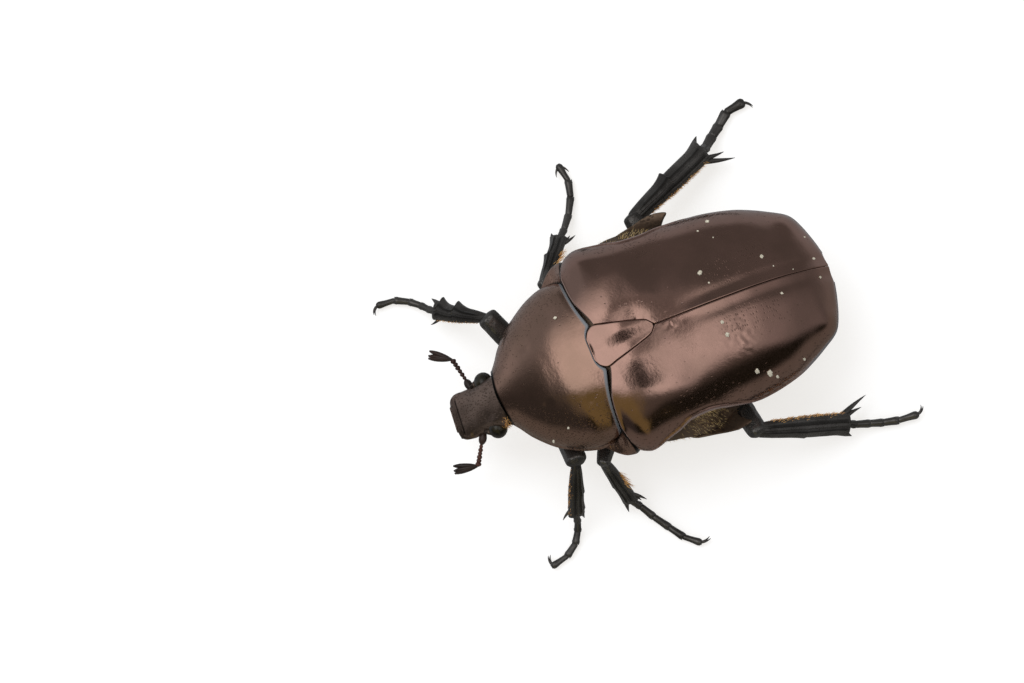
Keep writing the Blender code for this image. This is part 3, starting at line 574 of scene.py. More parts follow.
def make_elytron(side, material):
    sign = SIDES[side]
    lengthwise = crowd(150, EDGE_ROUNDING / 17, EDGE_ROUNDING / 17)
    sideways = crowd(84, EDGE_ROUNDING / 9, 0.004)
    grid, rise = [], []
    masks = {"rim": [], "pitted": [], "lined": [], "rows": []}
    for share in lengthwise:
        # The rows stand closer together where the shell curves down to its end.
        share = 1.25 * share - 0.25 * share**2
        points, heights, edges, sparse, scored, ranked = [], [], [], [], [], []
        for turn in sideways:
            y = PRONOTUM_BASE + (ELYTRA_END - PRONOTUM_BASE) * share
            front = elytra_front(elytra_point(y, turn)[0])
            y = front + (ELYTRA_END - front) * share
            x, z = elytra_point(y, turn)
            points.append((sign * x, y, z))
            # The inner and the front edge curl down.
            curl = curl_down(min(x - elytra_inner(y), y - front))
            furrow = SIDE_FURROW * wave(turn, 0.925, SIDE_LINE_WIDTH) * step(y, -3.4, -2.4)
            furrow -= SIDE_RIDGE * wave(turn, 0.965, SIDE_LINE_WIDTH) * step(y, -3.4, -2.4)
            loose = wobble((sign * x, y, z), 1.9, 0.018) + wobble((sign * x, y, z), 0.7, 0.004)
            heights.append(elytra_relief(x, y, side) - curl - furrow + loose)
            # The rim mask paints a blue-grey reflection along the front edge, the side margin and the hind
            # margin, and faintly on the rolled-in margin.
            hind_edge_reflection = step(turn, 0.84, 0.93) * step(y, 6.5, 10) * 0.9
            edges.append(max(0.5 - (y - front) / 0.16, step(turn, 0.94, 0.975) * 0.55, hind_edge_reflection))
            sparse.append(0.04 + 0.5 * step(turn, 0.5, 0.9))
            scored.append(step(turn, 0.55, 0.8) * step(y, 1, 6) * 0.7)
            ranked.append(hill(x, 0.7, 1.0, 2.6, 3.1) * hill(y, 3.5, 6, 8.5, 10))
        for fold in range(1, MARGIN_FOLDS + 1):
            # Under the margin the shell rolls in.
            angle = math.pi / 2 * fold / MARGIN_FOLDS
            reach = x - MARGIN_ROLL * (1 - math.cos(angle))
            points.append((sign * reach, y, z - MARGIN_ROLL * math.sin(angle)))
        bare = [0] * MARGIN_FOLDS
        grid.append(points)
        rise.append(heights + heights[-1:] * MARGIN_FOLDS)
        masks["rim"].append(edges + [0.2] * MARGIN_FOLDS)
        for mask, values in (("pitted", sparse), ("lined", scored), ("rows", ranked)):
            masks[mask].append(values + bare)
    grid = np.array(grid)
    grid += normals_of(grid) * np.array(rise)[..., None] * -sign
    shell = make_skin(f"elytron_{side}_shell", grid, masks=masks)
    middle = shell.data.polygons[len(shell.data.polygons) // 2]
    if middle.normal.z < 0:
        shell.data.flip_normals()
    solidify = shell.modifiers.new("thickness", "SOLIDIFY")
    solidify.thickness = ELYTRON_THICKNESS * MM
    solidify.offset = -1
    bake_down(shell)
    settle(shell, material, "shell", f"elytron_{side}")


shell_finish = cuticle(
    "bronze_purple_cuticle", (0.52, 0.32, 0.265), (0.44, 0.275, 0.225), 0.12, 1.0, pit_size=0.08
)
for side in SIDES:
    make_elytron(side, shell_finish)


# Scutellum
# The small shield between the bases of the wing cases, of the same cuticle but without punctures.
# It follows their vault, and its left half lies a little lower.
SCUTELLUM_TILT = 0.08
SCUTELLUM_DEPTH = 0.45


def make_scutellum(material):
    grid = []
    for share in crowd(60, 0.02, 0.02):
        y = SCUTELLUM_FRONT + (SCUTELLUM_TIP - SCUTELLUM_FRONT) * share
        wide = SCUTELLUM_WIDTH(y)
        row = []
        for turn in crowd(28, 0.03):
            x = wide * (2 * turn - 1)
            curl = curl_down(min(wide - abs(x), y - SCUTELLUM_FRONT + 0.02, (SCUTELLUM_TIP - y) * 1.5 + 0.02))
            z = elytra_height(x, y) + 0.01 - SCUTELLUM_TILT * math.tanh((x + 0.05) / 0.5) - curl
            row.append((x, y, z + wobble((x, y, 0), 1.2, 0.01)))
        row += [(x, y, BACK_HEIGHT - SCUTELLUM_DEPTH - 0.2) for x in (wide * 0.98, 0, -wide * 0.98)]
        grid.append(row)
    ends = [[(0, row[0][1], BACK_HEIGHT - SCUTELLUM_DEPTH)] * len(row) for row in (grid[0], grid[-1])]
    grid = np.array([ends[0]] + grid + [ends[1]])
    settle(make_skin("scutellum_shield", grid, True), material, "shell", "scutellum")


make_scutellum(shell_finish)

# Prothorax
# The pronotum is a punctured dome of bronze-brown cuticle, with a beaded side margin and a base that
# the scutellum notches. The prosternum closes it below.
PRONOTUM_FRONT = -11.35
PRONOTUM_WIDTH = profile(
    (PRONOTUM_FRONT, 2.0), (-11, 2.45), (-10.4, 3.3), (-9, 4.65), (-7, 5.75), (-6, 5.98), (-5.2, 5.93),
    (PRONOTUM_BASE, 5.7),
)
PRONOTUM_BACK = profile((PRONOTUM_FRONT, 7.9), (-10, 9.0), (-8, 10.15), (-6, 10.85), (PRONOTUM_BASE, 11.0))
PRONOTUM_MARGIN = profile((PRONOTUM_FRONT, 6.0), (-9, 5.7), (-7, 6.2), (PRONOTUM_BASE, 7.0))
PROSTERNUM = profile((PRONOTUM_FRONT, 4.5), (-10, 3.4), (-8, 2.8), (-6, 2.9), (PRONOTUM_BASE, 3.6))
PRONOTUM_FLATNESS = profile((PRONOTUM_FRONT, 2.2), (-7, 2.3), (PRONOTUM_BASE, 2.8))
PRONOTUM_NOSE = 0.25
PRONOTUM_NOSE_SPREAD = 2.2
PRONOTUM_RIM = (0.2, 0.3)
PROSTERNUM_SETBACK = 1.2
PRONOTUM_DENTS = ((-2.05, -8.6), (2.1, -8.65), (3.2, -5.9))
NOTCH_HALF_WIDTH = 1.62
NOTCH_DEPTH = 0.85
TRUNK_ROUNDNESS = 0.8


def body_ring(y, upper, lower, above, below):
    """Points round the body, from (half width, height, base, flatness) above and below."""
    wide, top, margin, flatness = upper
    side, belly, ledge = lower
    quarter = []
    for i in range(above + 1):
        turn = math.pi / 2 * i / above
        quarter.append((wide * math.sin(turn) ** (2 / flatness), margin + (top - margin) * math.cos(turn)))
    for i in range(1, below + 1):
        turn = math.pi / 2 * i / below
        reach = side * max(math.cos(turn), 0) ** TRUNK_ROUNDNESS
        quarter.append((reach, ledge - (ledge - belly) * math.sin(turn)))
    quarter[-1] = (0, belly)
    mirrored = [(-x, z) for x, z in quarter[-2:0:-1]]
    return [(x, y, z) for x, z in quarter + mirrored]


def rounded_end(ring, way, radius):
    """Rows that turn the end of a body in, along way (-1 or 1) on Y, and close it."""
    ring = np.array(ring)
    middle = ring.mean(axis=0)
    inward = middle - ring
    inward[:, 1] = 0
    inward /= np.maximum(np.linalg.norm(inward, axis=1, keepdims=True), 1e-6)
    rows = []
    for k in range(1, 5):
        angle = math.pi / 2 * k / 4
        rows.append(ring + inward * radius * (1 - math.cos(angle)) + [0, way * radius * math.sin(angle), 0])
    rows.append(rows[-1] + inward * 0.7 * radius + [0, -way * 0.1, 0])
    rows.append(rows[-1] * 0.35 + middle * 0.65)
    rows.append(np.repeat(middle[None], len(ring), axis=0))
    return rows


def repeat_ends(rows, count=1):
    """Rows of a mask with the first and the last repeated, beside a grid whose ends were closed."""
    return [rows[0]] * count + rows + [rows[-1]] * count


def round_off(rows, masks, front, rear):
    """The grid and masks of a body with both ends turned in, by the radii of its front and rear edge."""
    first, last = rounded_end(rows[0], -1, front), rounded_end(rows[-1], 1, rear)
    masks = {mask: repeat_ends(values, len(first)) for mask, values in masks.items()}
    return np.array(first[::-1] + rows + last), masks


def make_prothorax(material):
    above, below = 76, 30
    rows, masks = [], {"rim": [], "pitted": [], "lined": [], "seam": []}
    stations = 130
    for i in range(stations + 1):
        share = i / stations
        y = PRONOTUM_FRONT + (PRONOTUM_BASE - PRONOTUM_FRONT) * share
        margin = PRONOTUM_MARGIN(y)
        wide = PRONOTUM_WIDTH(y)
        inset, drop = PRONOTUM_RIM
        upper = (wide, PRONOTUM_BACK(y), margin, PRONOTUM_FLATNESS(y))
        ring = body_ring(y, upper, (wide - inset, PROSTERNUM(y), margin - drop), above, below)
        shaped = []
        for x, y, z in ring:
            back = max(0, z - margin) / (PRONOTUM_BACK(y) - margin)
            lobe = pronotum_base(x) - PRONOTUM_BASE if z > margin else 0
            notch = max(0, 1 - (abs(x) / NOTCH_HALF_WIDTH) ** 3) * NOTCH_DEPTH if z > margin + 1 else 0
            short = -PROSTERNUM_SETBACK * min(1, max(0, margin - z) / 2)
            nose = -PRONOTUM_NOSE * math.cos(min(abs(x) / PRONOTUM_NOSE_SPREAD, 1) * math.pi / 2) * back
            base = share**4 * (lobe + short) - share**12 * notch - share**40 * EDGE_ROUNDING
            # A bead runs along the side margin, with a furrow inside it.
            height = (z - margin) / 0.16
            bead = 0.06 * wave(height, 0.6, 1) - 0.05 * wave(height, 3, 1.2)
            hollow = bump(abs(x), y, (2.9, -5.3), (1.1, 0.8), -0.03)
            hollow += sum(bump(x, y, dent, (0.22, 0.3), -0.06) for dent in PRONOTUM_DENTS)
            loose = wobble((x, y, z), 1.7, 0.018) + wobble((x, y, z), 0.6, 0.004)
            lift = 1 + (bead + hollow + loose) / math.hypot(x, z - margin + 1)
            shaped.append((x * lift, y + base + (1 - share) ** 4 * nose, margin + (z - margin) * lift))
        rows.append(shaped)
        # The rim mask paints a blue-grey reflection along the base and on the side margin near the hind
        # corners.
        corner = 0.6 * step(share, 0.8, 0.86)
        base = step(share, 0.966, 0.982)
        masks["rim"].append(
            [max(base, corner * (1 - step(z - margin, 0.1, 0.25))) * (z > margin) for x, y, z in shaped]
        )
        # A dark line along the front edge is painted shade where the head meets the pronotum.
        masks["seam"].append([1 - step(share, 0.006, 0.02)] * len(shaped))
        flank = [step(abs(x), 0.35 * wide, 0.9 * wide) for x, y, z in shaped]
        masks["pitted"].append([min(1, 0.03 + 0.85 * f + 0.3 * (1 - step(share, 0, 0.35))) for f in flank])
        ahead = 1 - step(share, 0.7, 0.95)
        masks["lined"].append([step(abs(x), 0.8 * wide, wide) * ahead for x, y, z in shaped])
    grid, masks = round_off(rows, masks, 0.1, EDGE_ROUNDING)
    settle(make_skin("prothorax_shell", grid, True, masks), material, "shell", "prothorax")


pronotum_finish = cuticle(
    "bronze_brown_cuticle", (0.5, 0.31, 0.245), (0.41, 0.26, 0.2), 0.14, 1.0, pit_size=0.075, grain=0.0055
)
make_prothorax(pronotum_finish)

# Thorax, abdomen and pygidium
# The underside: a furrowed plate between the legs, then five belly rings with grooves between, and
# a sloping end plate, all of dark bronze cuticle. Short golden hairs stand on the sides.
TRUNK_FRONT = -5.4
TRUNK_END = 12.35
TRUNK_SIDE = profile(
    (TRUNK_FRONT, 5.0), (-4, 6.1), (-2.5, 7.0), (-1.4, 7.35), (0.2, 7.55), (1.6, 7.5), (3.6, 6.7), (5, 6.2),
    (8, 5.8), (10, 5.1), (11.5, 3.9), (TRUNK_END, 2.2),
)
TRUNK_BELLY = profile(
    (TRUNK_FRONT, 2.7), (-3, 2.1), (0, 1.8), (3.5, 1.9), (6, 2.2), (9, 2.7), (11.4, 3.4), (TRUNK_END, 4.3)
)
ELYTRA_ROOM = 0.95
TRUNK_BULGE = 0.6
TRUNK_LEDGE = 0.65
TRUNK_LEDGE_HEIGHT = profile(
    (TRUNK_FRONT, 6.3), (-3, 6.3), (-1.4, 6.8), (0.2, 6.2), (2, 5.6), (3.6, 5.0), (5, 4.85), (9, 4.55),
    (TRUNK_END, 4.65),
)
WAIST = 3.75
VENTRITES = (5.6, 7.0, 8.3, 9.5)
VENTRITE_GROOVE = 0.14
KEEL_FURROW = 0.12
PLATE_GAP = 0.05
PYGIDIUM_TOP = (11.7, 5.6)
PYGIDIUM_LEAN = math.radians(24)


def capped(rows):
    """A grid of rings, closed at either end by the middle of the ring there."""
    middles = [np.repeat(np.mean(row, axis=0)[None], len(row), axis=0) for row in (rows[0], rows[-1])]
    return np.array([middles[0]] + rows + [middles[1]])


def trunk_grid():
    rows = []
    stations = 170
    for i in range(stations + 1):
        y = TRUNK_FRONT + (TRUNK_END - TRUNK_FRONT) * i / stations
        # Each belly ring but the last ends in a shallow groove.
        notch = sum(VENTRITE_GROOVE * wave(y, groove, 0.07) for groove in VENTRITES)
        ledge = TRUNK_LEDGE_HEIGHT(y)
        wide, back = ELYTRA_WIDTH(y) - ELYTRA_ROOM, ELYTRA_BACK(y) - ELYTRA_ROOM
        upper = (wide, back, ledge + TRUNK_LEDGE, ELYTRA_FLATNESS)
        side = min(TRUNK_SIDE(y), ELYTRA_WIDTH(y) + TRUNK_BULGE) - notch
        ring = body_ring(y, upper, (side, TRUNK_BELLY(y) + notch, ledge), 24, 60)
        keel = KEEL_FURROW * (1 - step(y, 2.5, 3.7))
        shaped = []
        for x, y, z in ring:
            low_down = step(TRUNK_BELLY(y) + 1.2 - z, 0, 1)
            groove = keel * wave(x, 0, 0.12) * low_down
            swell = wobble((x, y, z), 1.1, 0.03)
            shaped.append((x * (1 + swell / 6), y, z + groove + swell * low_down))
        rows.append(shaped)
    return capped(rows)


def slice_off(piece, place, normal):
    """Takes away what lies on the normal's side of a plane, and closes the cut."""
    bm = bmesh.new()
    bm.from_mesh(piece.data)
    everything = bm.verts[:] + bm.edges[:] + bm.faces[:]
    point = HOME + Vector(place) * MM
    bmesh.ops.bisect_plane(bm, geom=everything, dist=1e-8, plane_co=point, plane_no=normal, clear_outer=True)
    bmesh.ops.holes_fill(bm, edges=[edge for edge in bm.edges if edge.is_boundary])
    bm.to_mesh(piece.data)
    bm.free()


underside_finish = cuticle(
    "dark_bronze_underside", (0.24, 0.17, 0.12), (0.1, 0.07, 0.05), 0.26, 0.85, pit_size=0.14, grain=0.006
)
trunk = trunk_grid()
masks = even(trunk, pitted=0.35)
behind = Vector((0, math.cos(PYGIDIUM_LEAN), -math.sin(PYGIDIUM_LEAN)))
seam = Vector((0, *PYGIDIUM_TOP))
cuts = {
    "thorax": [((0, WAIST - PLATE_GAP, 0), (0, 1, 0))],
    "abdomen": [((0, WAIST + PLATE_GAP, 0), (0, -1, 0)), (seam - behind * PLATE_GAP, behind)],
    "pygidium": [(seam + behind * PLATE_GAP, -behind)],
}
for node, planes in cuts.items():
    piece = make_skin(f"{node}_plates", trunk, True, masks)
    for place, normal in planes:
        slice_off(piece, place, normal)
    settle(piece, underside_finish, "underside", node)

# The flanks bear hairs that lie back and outwards, thick beside the hind coxae and thin below.
flank_rows = [i for i, row in enumerate(trunk[1:-1], 1) if -4.2 < row[:, 1].mean() < 3.5]
flank_grid = trunk[flank_rows[0] : flank_rows[-1] + 1]
hairy, lie = [], []
for x, y, z in flank_grid.reshape(-1, 3):
    beside = hill(y, -0.8, 1.0, 1.6, 3.2) * step(abs(x), 5.9, 6.3) * (1 - step(abs(x), 6.75, 7.0))
    beside *= z > TRUNK_LEDGE_HEIGHT(y)
    below = 0.06 * step(abs(x), 4.5, 6) * (z < TRUNK_LEDGE_HEIGHT(y))
    hairy.append(beside + below)
    lie.append((math.copysign(0.8, x), 0.6, 0.25))
masks = {"hairy": np.reshape(hairy, flank_grid.shape[:2]), "lie": np.reshape(lie, flank_grid.shape)}
flank_coat = make_skin("coat", flank_grid, True, masks)

# Mesepimera
# The small side plates that show between the pronotum's hind corners and the shoulders, of the
# pronotum's cuticle. They run down from under its edge and turn in below their margin.
MESEPIMERON_FRONT = -6.0
MESEPIMERON_LENGTH = 2.4
MESEPIMERON_WIDTH = profile((-6.0, 6.05), (-5.3, 6.75), (-4.7, 7.13), (-4.2, 7.22), (-3.6, 6.9))
MESEPIMERON_TOP = profile((-6.0, 6.9), (-5.2, 7.4), (-4.75, 8.3), (-4.3, 10.0), (-3.6, 10.3))
MESEPIMERON_MARGIN = 6.6
MESEPIMERON_DEPTH = 0.9


def make_mesepimeron(side, material):
    grid, seam = [], []
    columns = 40
    for share in crowd(60, 0.04):
        y = MESEPIMERON_FRONT + MESEPIMERON_LENGTH * share
        wide = MESEPIMERON_WIDTH(y)
        row, dark = [], []
        for k in range(columns + 1):
            turn = math.radians(35 + 80 * k / columns)
            reach = wide * math.sin(turn) ** 0.8
            z = MESEPIMERON_MARGIN + (MESEPIMERON_TOP(y) - MESEPIMERON_MARGIN) * math.cos(turn)
            row.append((SIDES[side] * (reach + wobble((reach, y, z), 0.8, 0.03)), y, z))
            # Painted shade darkens the plate where it meets the shoulder and beside the pronotum's hind
            # corner.
            shoulder = elytra_front(reach)
            corner = PRONOTUM_WIDTH(min(y, PRONOTUM_BASE))
            beside = 1 - step(reach, corner + 0.04, corner + 0.1)
            dark.append(max(step(y, shoulder - 0.14, shoulder - 0.06), beside))
        inner = [(point[0] - SIDES[side] * MESEPIMERON_DEPTH, y, point[2] + 0.2) for point in row[::-4]]
        grid.append(row + inner)
        seam.append(dark + [0] * len(inner))
    grid, seam = capped(grid), repeat_ends(seam)
    masks = dict(even(grid, pitted=0.7, lined=0.3), seam=seam)
    plate = make_skin(f"mesepimeron_{side}_plate", grid, True, masks)
    settle(plate, material, "shell", f"mesepimeron_{side}")


for side in SIDES:
    make_mesepimeron(side, pronotum_finish)

# Head
# A square shield with a raised front rim, densely punctured, of duller grey-brown cuticle. A cheek ridge
# runs into each eye, and two palps stand out from under it.
HEAD_TURN = math.radians(-4.5)
HEAD_SHIFT = 0.15
HEAD_PIVOT = -10.8
HEAD_BACK = -10.5
HEAD_FRONT = -15.05
HEAD_WIDTH = profile(
    (HEAD_FRONT, 0.95), (-15.0, 1.24), (-14.9, 1.42), (-14.75, 1.56), (-14.5, 1.67), (-14.2, 1.7),
    (-13.4, 1.7), (-12.8, 1.76), (-12, 1.85), (-11.3, 1.75), (HEAD_BACK, 1.35),
)
HEAD_TOP = profile(
    (HEAD_FRONT, 4.1), (-14.7, 4.45), (-14.2, 4.85), (-13.4, 5.6), (-12.5, 6.4), (-11.5, 7.3),
    (HEAD_BACK, 7.9),
)
HEAD_UNDER = profile((HEAD_FRONT, 3.7), (-14.3, 3.6), (-14, 3.15), (-13, 3.2), (-11.8, 3.7), (HEAD_BACK, 4.5))
HEAD_RIM_FURROW = 0.42
HEAD_BOXINESS = 3
EYE = dict(place=(1.68, -12.3, 5.2), size=(0.72, 0.68, 0.78))
PALP = dict(start=(1.1, -13.7, 3.3), end=(1.3, -14.98, 3.35), radius=0.19)
CHEEK_RIDGE = ((1.5, -13.2, 5.1), (1.72, -12.95, 5.2), (1.98, -12.65, 5.25), (2.15, -12.4, 5.2))
CHEEK_RIDGE_SIZES = ((0.24, 0.12), (0.24, 0.12), (0.16, 0.1), (0.05, 0.03))
head_pose = Matrix.Translation((HEAD_SHIFT, HEAD_PIVOT, 0)) @ Matrix.Rotation(HEAD_TURN, 4, "Z")
head_pose = head_pose @ Matrix.Translation((0, -HEAD_PIVOT, 0))


def pose_points(grid, pose):
    turned = np.array(pose.to_3x3())
    return np.asarray(grid) @ turned.T + np.array(pose.translation)


def make_head(material):
    rows, masks = [], {"pitted": [], "lined": [], "seam": []}
    stations = 96
    for i in range(stations + 1):
        share = (i / stations) ** 1.3
        y = HEAD_FRONT + (HEAD_BACK - HEAD_FRONT) * share
        middle = (HEAD_TOP(y) + HEAD_UNDER(y)) / 2
        wide = HEAD_WIDTH(y)
        ring = body_ring(y, (wide, HEAD_TOP(y), middle, HEAD_BOXINESS), (wide, HEAD_UNDER(y), middle), 40, 24)
        shaped = []
        for x, y, z in ring:
            up = step(z, middle, middle + 0.3)
            front = y - HEAD_FRONT
            # The rim stands up along the front and the sides of the shield, with a furrow behind it.
            rim = 0.02 * wave(front, 0.16, 0.16) - 0.03 * wave(front, HEAD_RIM_FURROW, 0.1)
            side = abs(x) / wide
            side_rim = 0.05 * step(side, 0.86, 0.97) - 0.04 * wave(side, 0.8, 0.06)
            rim += side_rim * (1 - step(y, -13.4, -12.6))
            brow = bump(abs(x), y, (1.4, -12.4), (0.32, 0.5), 0.2)
            arch = bump(abs(x), y, (0, -12.9), (0.7, 0.8), 0.08)
            arch += bump(abs(x), y, (0, -13.9), (1.0, 0.35), -0.05)
            shaped.append((x, y, z + up * (rim + brow + arch) + wobble((x, y, z), 0.5, 0.012) * up))
        rows.append(shaped)
        masks["pitted"].append([1.0 if z > middle else 0.3 for x, y, z in shaped])
        masks["lined"].append([0.15] * len(shaped))
        # Painted shade darkens the furrow behind the rim and the neck under the pronotum; the strip in front
        # of the furrow is darker too.
        furrow = HEAD_FRONT + HEAD_RIM_FURROW
        groove = 0.95 * wave(y - HEAD_FRONT, HEAD_RIM_FURROW, 0.06)
        neck = max(0.85 * step(y, -11.6, -11.42), 0.45 * (1 - step(y, HEAD_FRONT + 0.3, furrow)))
        masks["seam"].append(
            [max(neck, groove * (1 - step(abs(x) / wide, 0.7, 0.85))) * (z > middle) for x, y, z in shaped]
        )
    grid, masks = round_off(rows, masks, 0.08, 0.1)
    grid = pose_points(grid, head_pose)
    flat = grid.reshape(-1, 3)
    tuft = [bump(x - HEAD_SHIFT, y, (1.85, -11.7), (0.4, 0.3), 1) * step(z, 5, 5.5) for x, y, z in flat]
    lie = [(math.copysign(1, x), 0.7, 0.1) for x, y, z in flat]
    shape = grid.shape[:2]
    growth = {"hairy": np.reshape(tuft, shape), "lie": np.reshape(lie, (*shape, 3))}
    coat = make_skin("coat", grid, True, growth)
    return make_skin("head_capsule", grid, True, masks), coat


def sweep(points, sizes, sides=20, flat=(0, 0, 1)):
    """A closed rod along points, with (half width, half thickness) sizes and flat the thin way."""
    points = [Vector(point) for point in points]
    flat = Vector(flat)
    rows = [[tuple(points[0])] * sides]
    for i, (point, (wide, thick)) in enumerate(zip(points, sizes)):
        way = (points[min(i + 1, len(points) - 1)] - points[max(i - 1, 0)]).normalized()
        side = way.cross(flat).normalized()
        up = side.cross(way).normalized()
        turns = [2 * math.pi * k / sides for k in range(sides)]
        rows.append([tuple(point + side * wide * math.cos(a) + up * thick * math.sin(a)) for a in turns])
    rows.append([tuple(points[-1])] * sides)
    return np.array(rows)


def spine(start, end, radius, sag=(0, 0, 0), tip=0.02, steps=8, sides=12):
    """A tapering, slightly bent spine."""
    start, end, sag = Vector(start), Vector(end), Vector(sag)
    shares = [k / steps for k in range(steps + 1)]
    points = [start.lerp(end, t) + sag * t * (1 - t) * 4 for t in shares]
    sizes = [(radius * (1 - t**1.5) + tip,) * 2 for t in shares]
    way = (end - start).normalized()
    return sweep(points, sizes, sides, flat=(0, 0, 1) if abs(way.z) < 0.9 else (1, 0, 0))


def bead(start, end, sizes, sides=20, flat=(0, 0, 1)):
    """A jointed segment: sizes are its half widths at equal steps from start to end."""
    start, end = Vector(start), Vector(end)
    count = len(sizes) - 1
    points = [start.lerp(end, k / count) for k in range(count + 1)]
    return sweep(points, [(s, s) if isinstance(s, (int, float)) else s for s in sizes], sides, flat)


def join(target, *others):
    """Moves the meshes of other pieces into one."""
    bm = bmesh.new()
    for piece in (target, *others):
        bm.from_mesh(piece.data)
    bm.to_mesh(target.data)
    bm.free()
    for other in others:
        bpy.data.objects.remove(other)
    return target


head_finish = cuticle(
    "punctured_grey_brown_cuticle", (0.42, 0.3, 0.25), (0.3, 0.22, 0.185), 0.27, 1.0, pit_size=0.08,
    pit_depth=0.008, grain=0.008,
)
head, head_coat = make_head(head_finish)
additions = []
for side, sign in SIDES.items():
    (x0, y0, z0), (x1, y1, z1) = PALP["start"], PALP["end"]
    radius = PALP["radius"]
    halfway = (sign * (x0 + x1 * 0.98) / 2, (y0 + y1) / 2, (z0 + z1) / 2 - 0.03)
    widths = [radius * share for share in (0.7, 0.75, 0.85, 0.5)]
    stalk = bead((sign * x0, y0, z0), halfway, [0.05] + widths)
    widths = [radius * share for share in (0.6, 0.8, 0.85, 0.6)]
    tip = bead(halfway, (sign * x1, y1, z1), [0.1] + widths + [0.05])
    for rod in (stalk, tip):
        additions.append(make_skin("palp", pose_points(rod, head_pose), True, even(rod, seam=0.85)))
    # The cheek ridge runs out of the shield's side and over the front of the eye.
    ridge = [(sign * x, y, z) for x, y, z in CHEEK_RIDGE]
    ridge = pose_points(sweep(ridge, CHEEK_RIDGE_SIZES, 14), head_pose)
    additions.append(make_skin("cheek", ridge, True, even(ridge, pitted=0.8, seam=0.65)))
head = join(head, *additions)
settle(head, head_finish, "shell", "head")

# Eyes
# Dark, glossy eggs set into the sides of the head, covered with fine facets. The facets are a bump
# in the finish and not in the mesh.
eye_finish, nodes, shader, scaled = new_material("faceted_eye")
facets = nodes.node(
    "ShaderNodeTexVoronoi", inputs={"Vector": scaled, "Scale": 22.0, "Randomness": 0.2}, output="Distance"
)
depths = nodes.node("ShaderNodeTexNoise", inputs={"Vector": scaled, "Scale": 1.5})
colour = nodes.mix(depths.rise(0.35, 0.7), (0.006, 0.005, 0.004), (0.022, 0.017, 0.007))
colour = nodes.mix(facets.rise(0.3, 0.7) * 0.5, colour, (0.004, 0.004, 0.004))
plug(eye_finish.node_tree, shader.inputs["Base Color"], colour)
shader.inputs["Roughness"].default_value = 0.12
shader.inputs["Coat Weight"].default_value = 0.3
normal = nodes.node("ShaderNodeBump", inputs={"Height": facets * -0.006, "Distance": MM, "Strength": 1.0})
plug(eye_finish.node_tree, shader.inputs["Normal"], normal)
for side, sign in SIDES.items():
    (x, y, z), (wide, long, high) = EYE["place"], EYE["size"]
    rows, columns = 40, 56
    turns = [2 * math.pi * j / columns for j in range(columns)]
    grid = []
    for i in range(rows + 1):
        polar = math.pi * i / rows
        out, up = math.sin(polar), math.cos(polar)
        ring = [(wide * out * math.cos(turn), long * out * math.sin(turn)) for turn in turns]
        grid.append([(sign * x + aside, y + behind, z + high * up) for aside, behind in ring])
    eye = make_skin(f"eye_{side}_globe", pose_points(grid, head_pose), True)
    settle(eye, eye_finish, "eye", f"eye_{side}")

# Antennae
# Each has a stout scape, a shaft of six small beads and a club of three long leaves, fanned apart, of
# dark red-brown cuticle. They spring from the sides of the head, in front of the eyes.
ANTENNA_ROOT = (1.45, -13.25, 4.45)
ANTENNA = dict(scape=(1.0, 0.27), funicle=(1.75, 0.22), club=(1.62, 0.3))
ANTENNA_FALLS = {"left": (10, 38, 10), "right": (10, 8, 12)}
ANTENNA_HEADINGS = {"left": (-31, -30, -100), "right": (192, 196, 238)}
LAMELLA_FAN = (-8, 3, 9)
FUNICLE_BEADS = 6


def bearing(heading, rise):
    heading, rise = math.radians(heading), math.radians(rise)
    return Vector((math.cos(heading) * math.cos(rise), math.sin(heading) * math.cos(rise), math.sin(rise)))


antenna_finish = cuticle(
    "dark_red_brown_cuticle", (0.085, 0.03, 0.02), (0.03, 0.014, 0.011), 0.3, 0.0, pit_size=0.07, grain=0.004
)
for side, sign in SIDES.items():
    x, y, z = ANTENNA_ROOT
    joint = Vector((sign * x, y, z))
    rods = []
    ways = [bearing(heading, -fall) for heading, fall in zip(ANTENNA_HEADINGS[side], ANTENNA_FALLS[side])]
    length, radius = ANTENNA["scape"]
    widths = [radius * s for s in (0.4, 0.6, 0.7, 0.85, 1.0, 1.05, 1.0, 0.8, 0.4)]
    rods.append(bead(joint - ways[0] * 0.1, joint + ways[0] * length, widths))
    joint = joint + ways[0] * length
    length, radius = ANTENNA["funicle"]
    for k in range(FUNICLE_BEADS):
        end = joint + ways[1] * length / FUNICLE_BEADS
        swell = radius * (0.62 + 0.1 * (k % 2) + 0.05 * k)
        rods.append(bead(joint - ways[1] * 0.02, end, [swell * s for s in (0.45, 0.8, 1.0, 0.95, 0.5)], 16))
        joint = end
    length, radius = ANTENNA["club"]
    for k, fan in enumerate(LAMELLA_FAN):
        way = bearing(ANTENNA_HEADINGS[side][2] + fan, -ANTENNA_FALLS[side][2] - 3 * (k - 1))
        flat = way.cross(Vector((0, 0, 1))).normalized()
        sizes = [(radius * s, radius * 0.62 * s) for s in (0.3, 0.55, 0.8, 0.95, 1.0, 1.0, 0.92, 0.7, 0.35)]
        rods.append(bead(joint - way * 0.08, joint + way * (length + 0.15), sizes, 18, flat))
    # The scape and the leaves are black, the shaft red-brown.
    black = [0.7] + [0] * FUNICLE_BEADS + [0.75] * len(LAMELLA_FAN)
    pieces = []
    for rod, dark in zip(rods, black):
        pieces.append(make_skin("segment", pose_points(rod, head_pose), True, even(rod, seam=dark)))
    antenna = join(*pieces)
    antenna.name = f"antenna_{side}_segments"
    settle(antenna, antenna_finish, "antenna", f"antenna_{side}")

# Legs
# Six legs of polished black cuticle. Each has a coxa in the body, a stout femur, a toothed and spurred
# tibia that widens outwards, and a tarsus of five joints with two hooked claws.

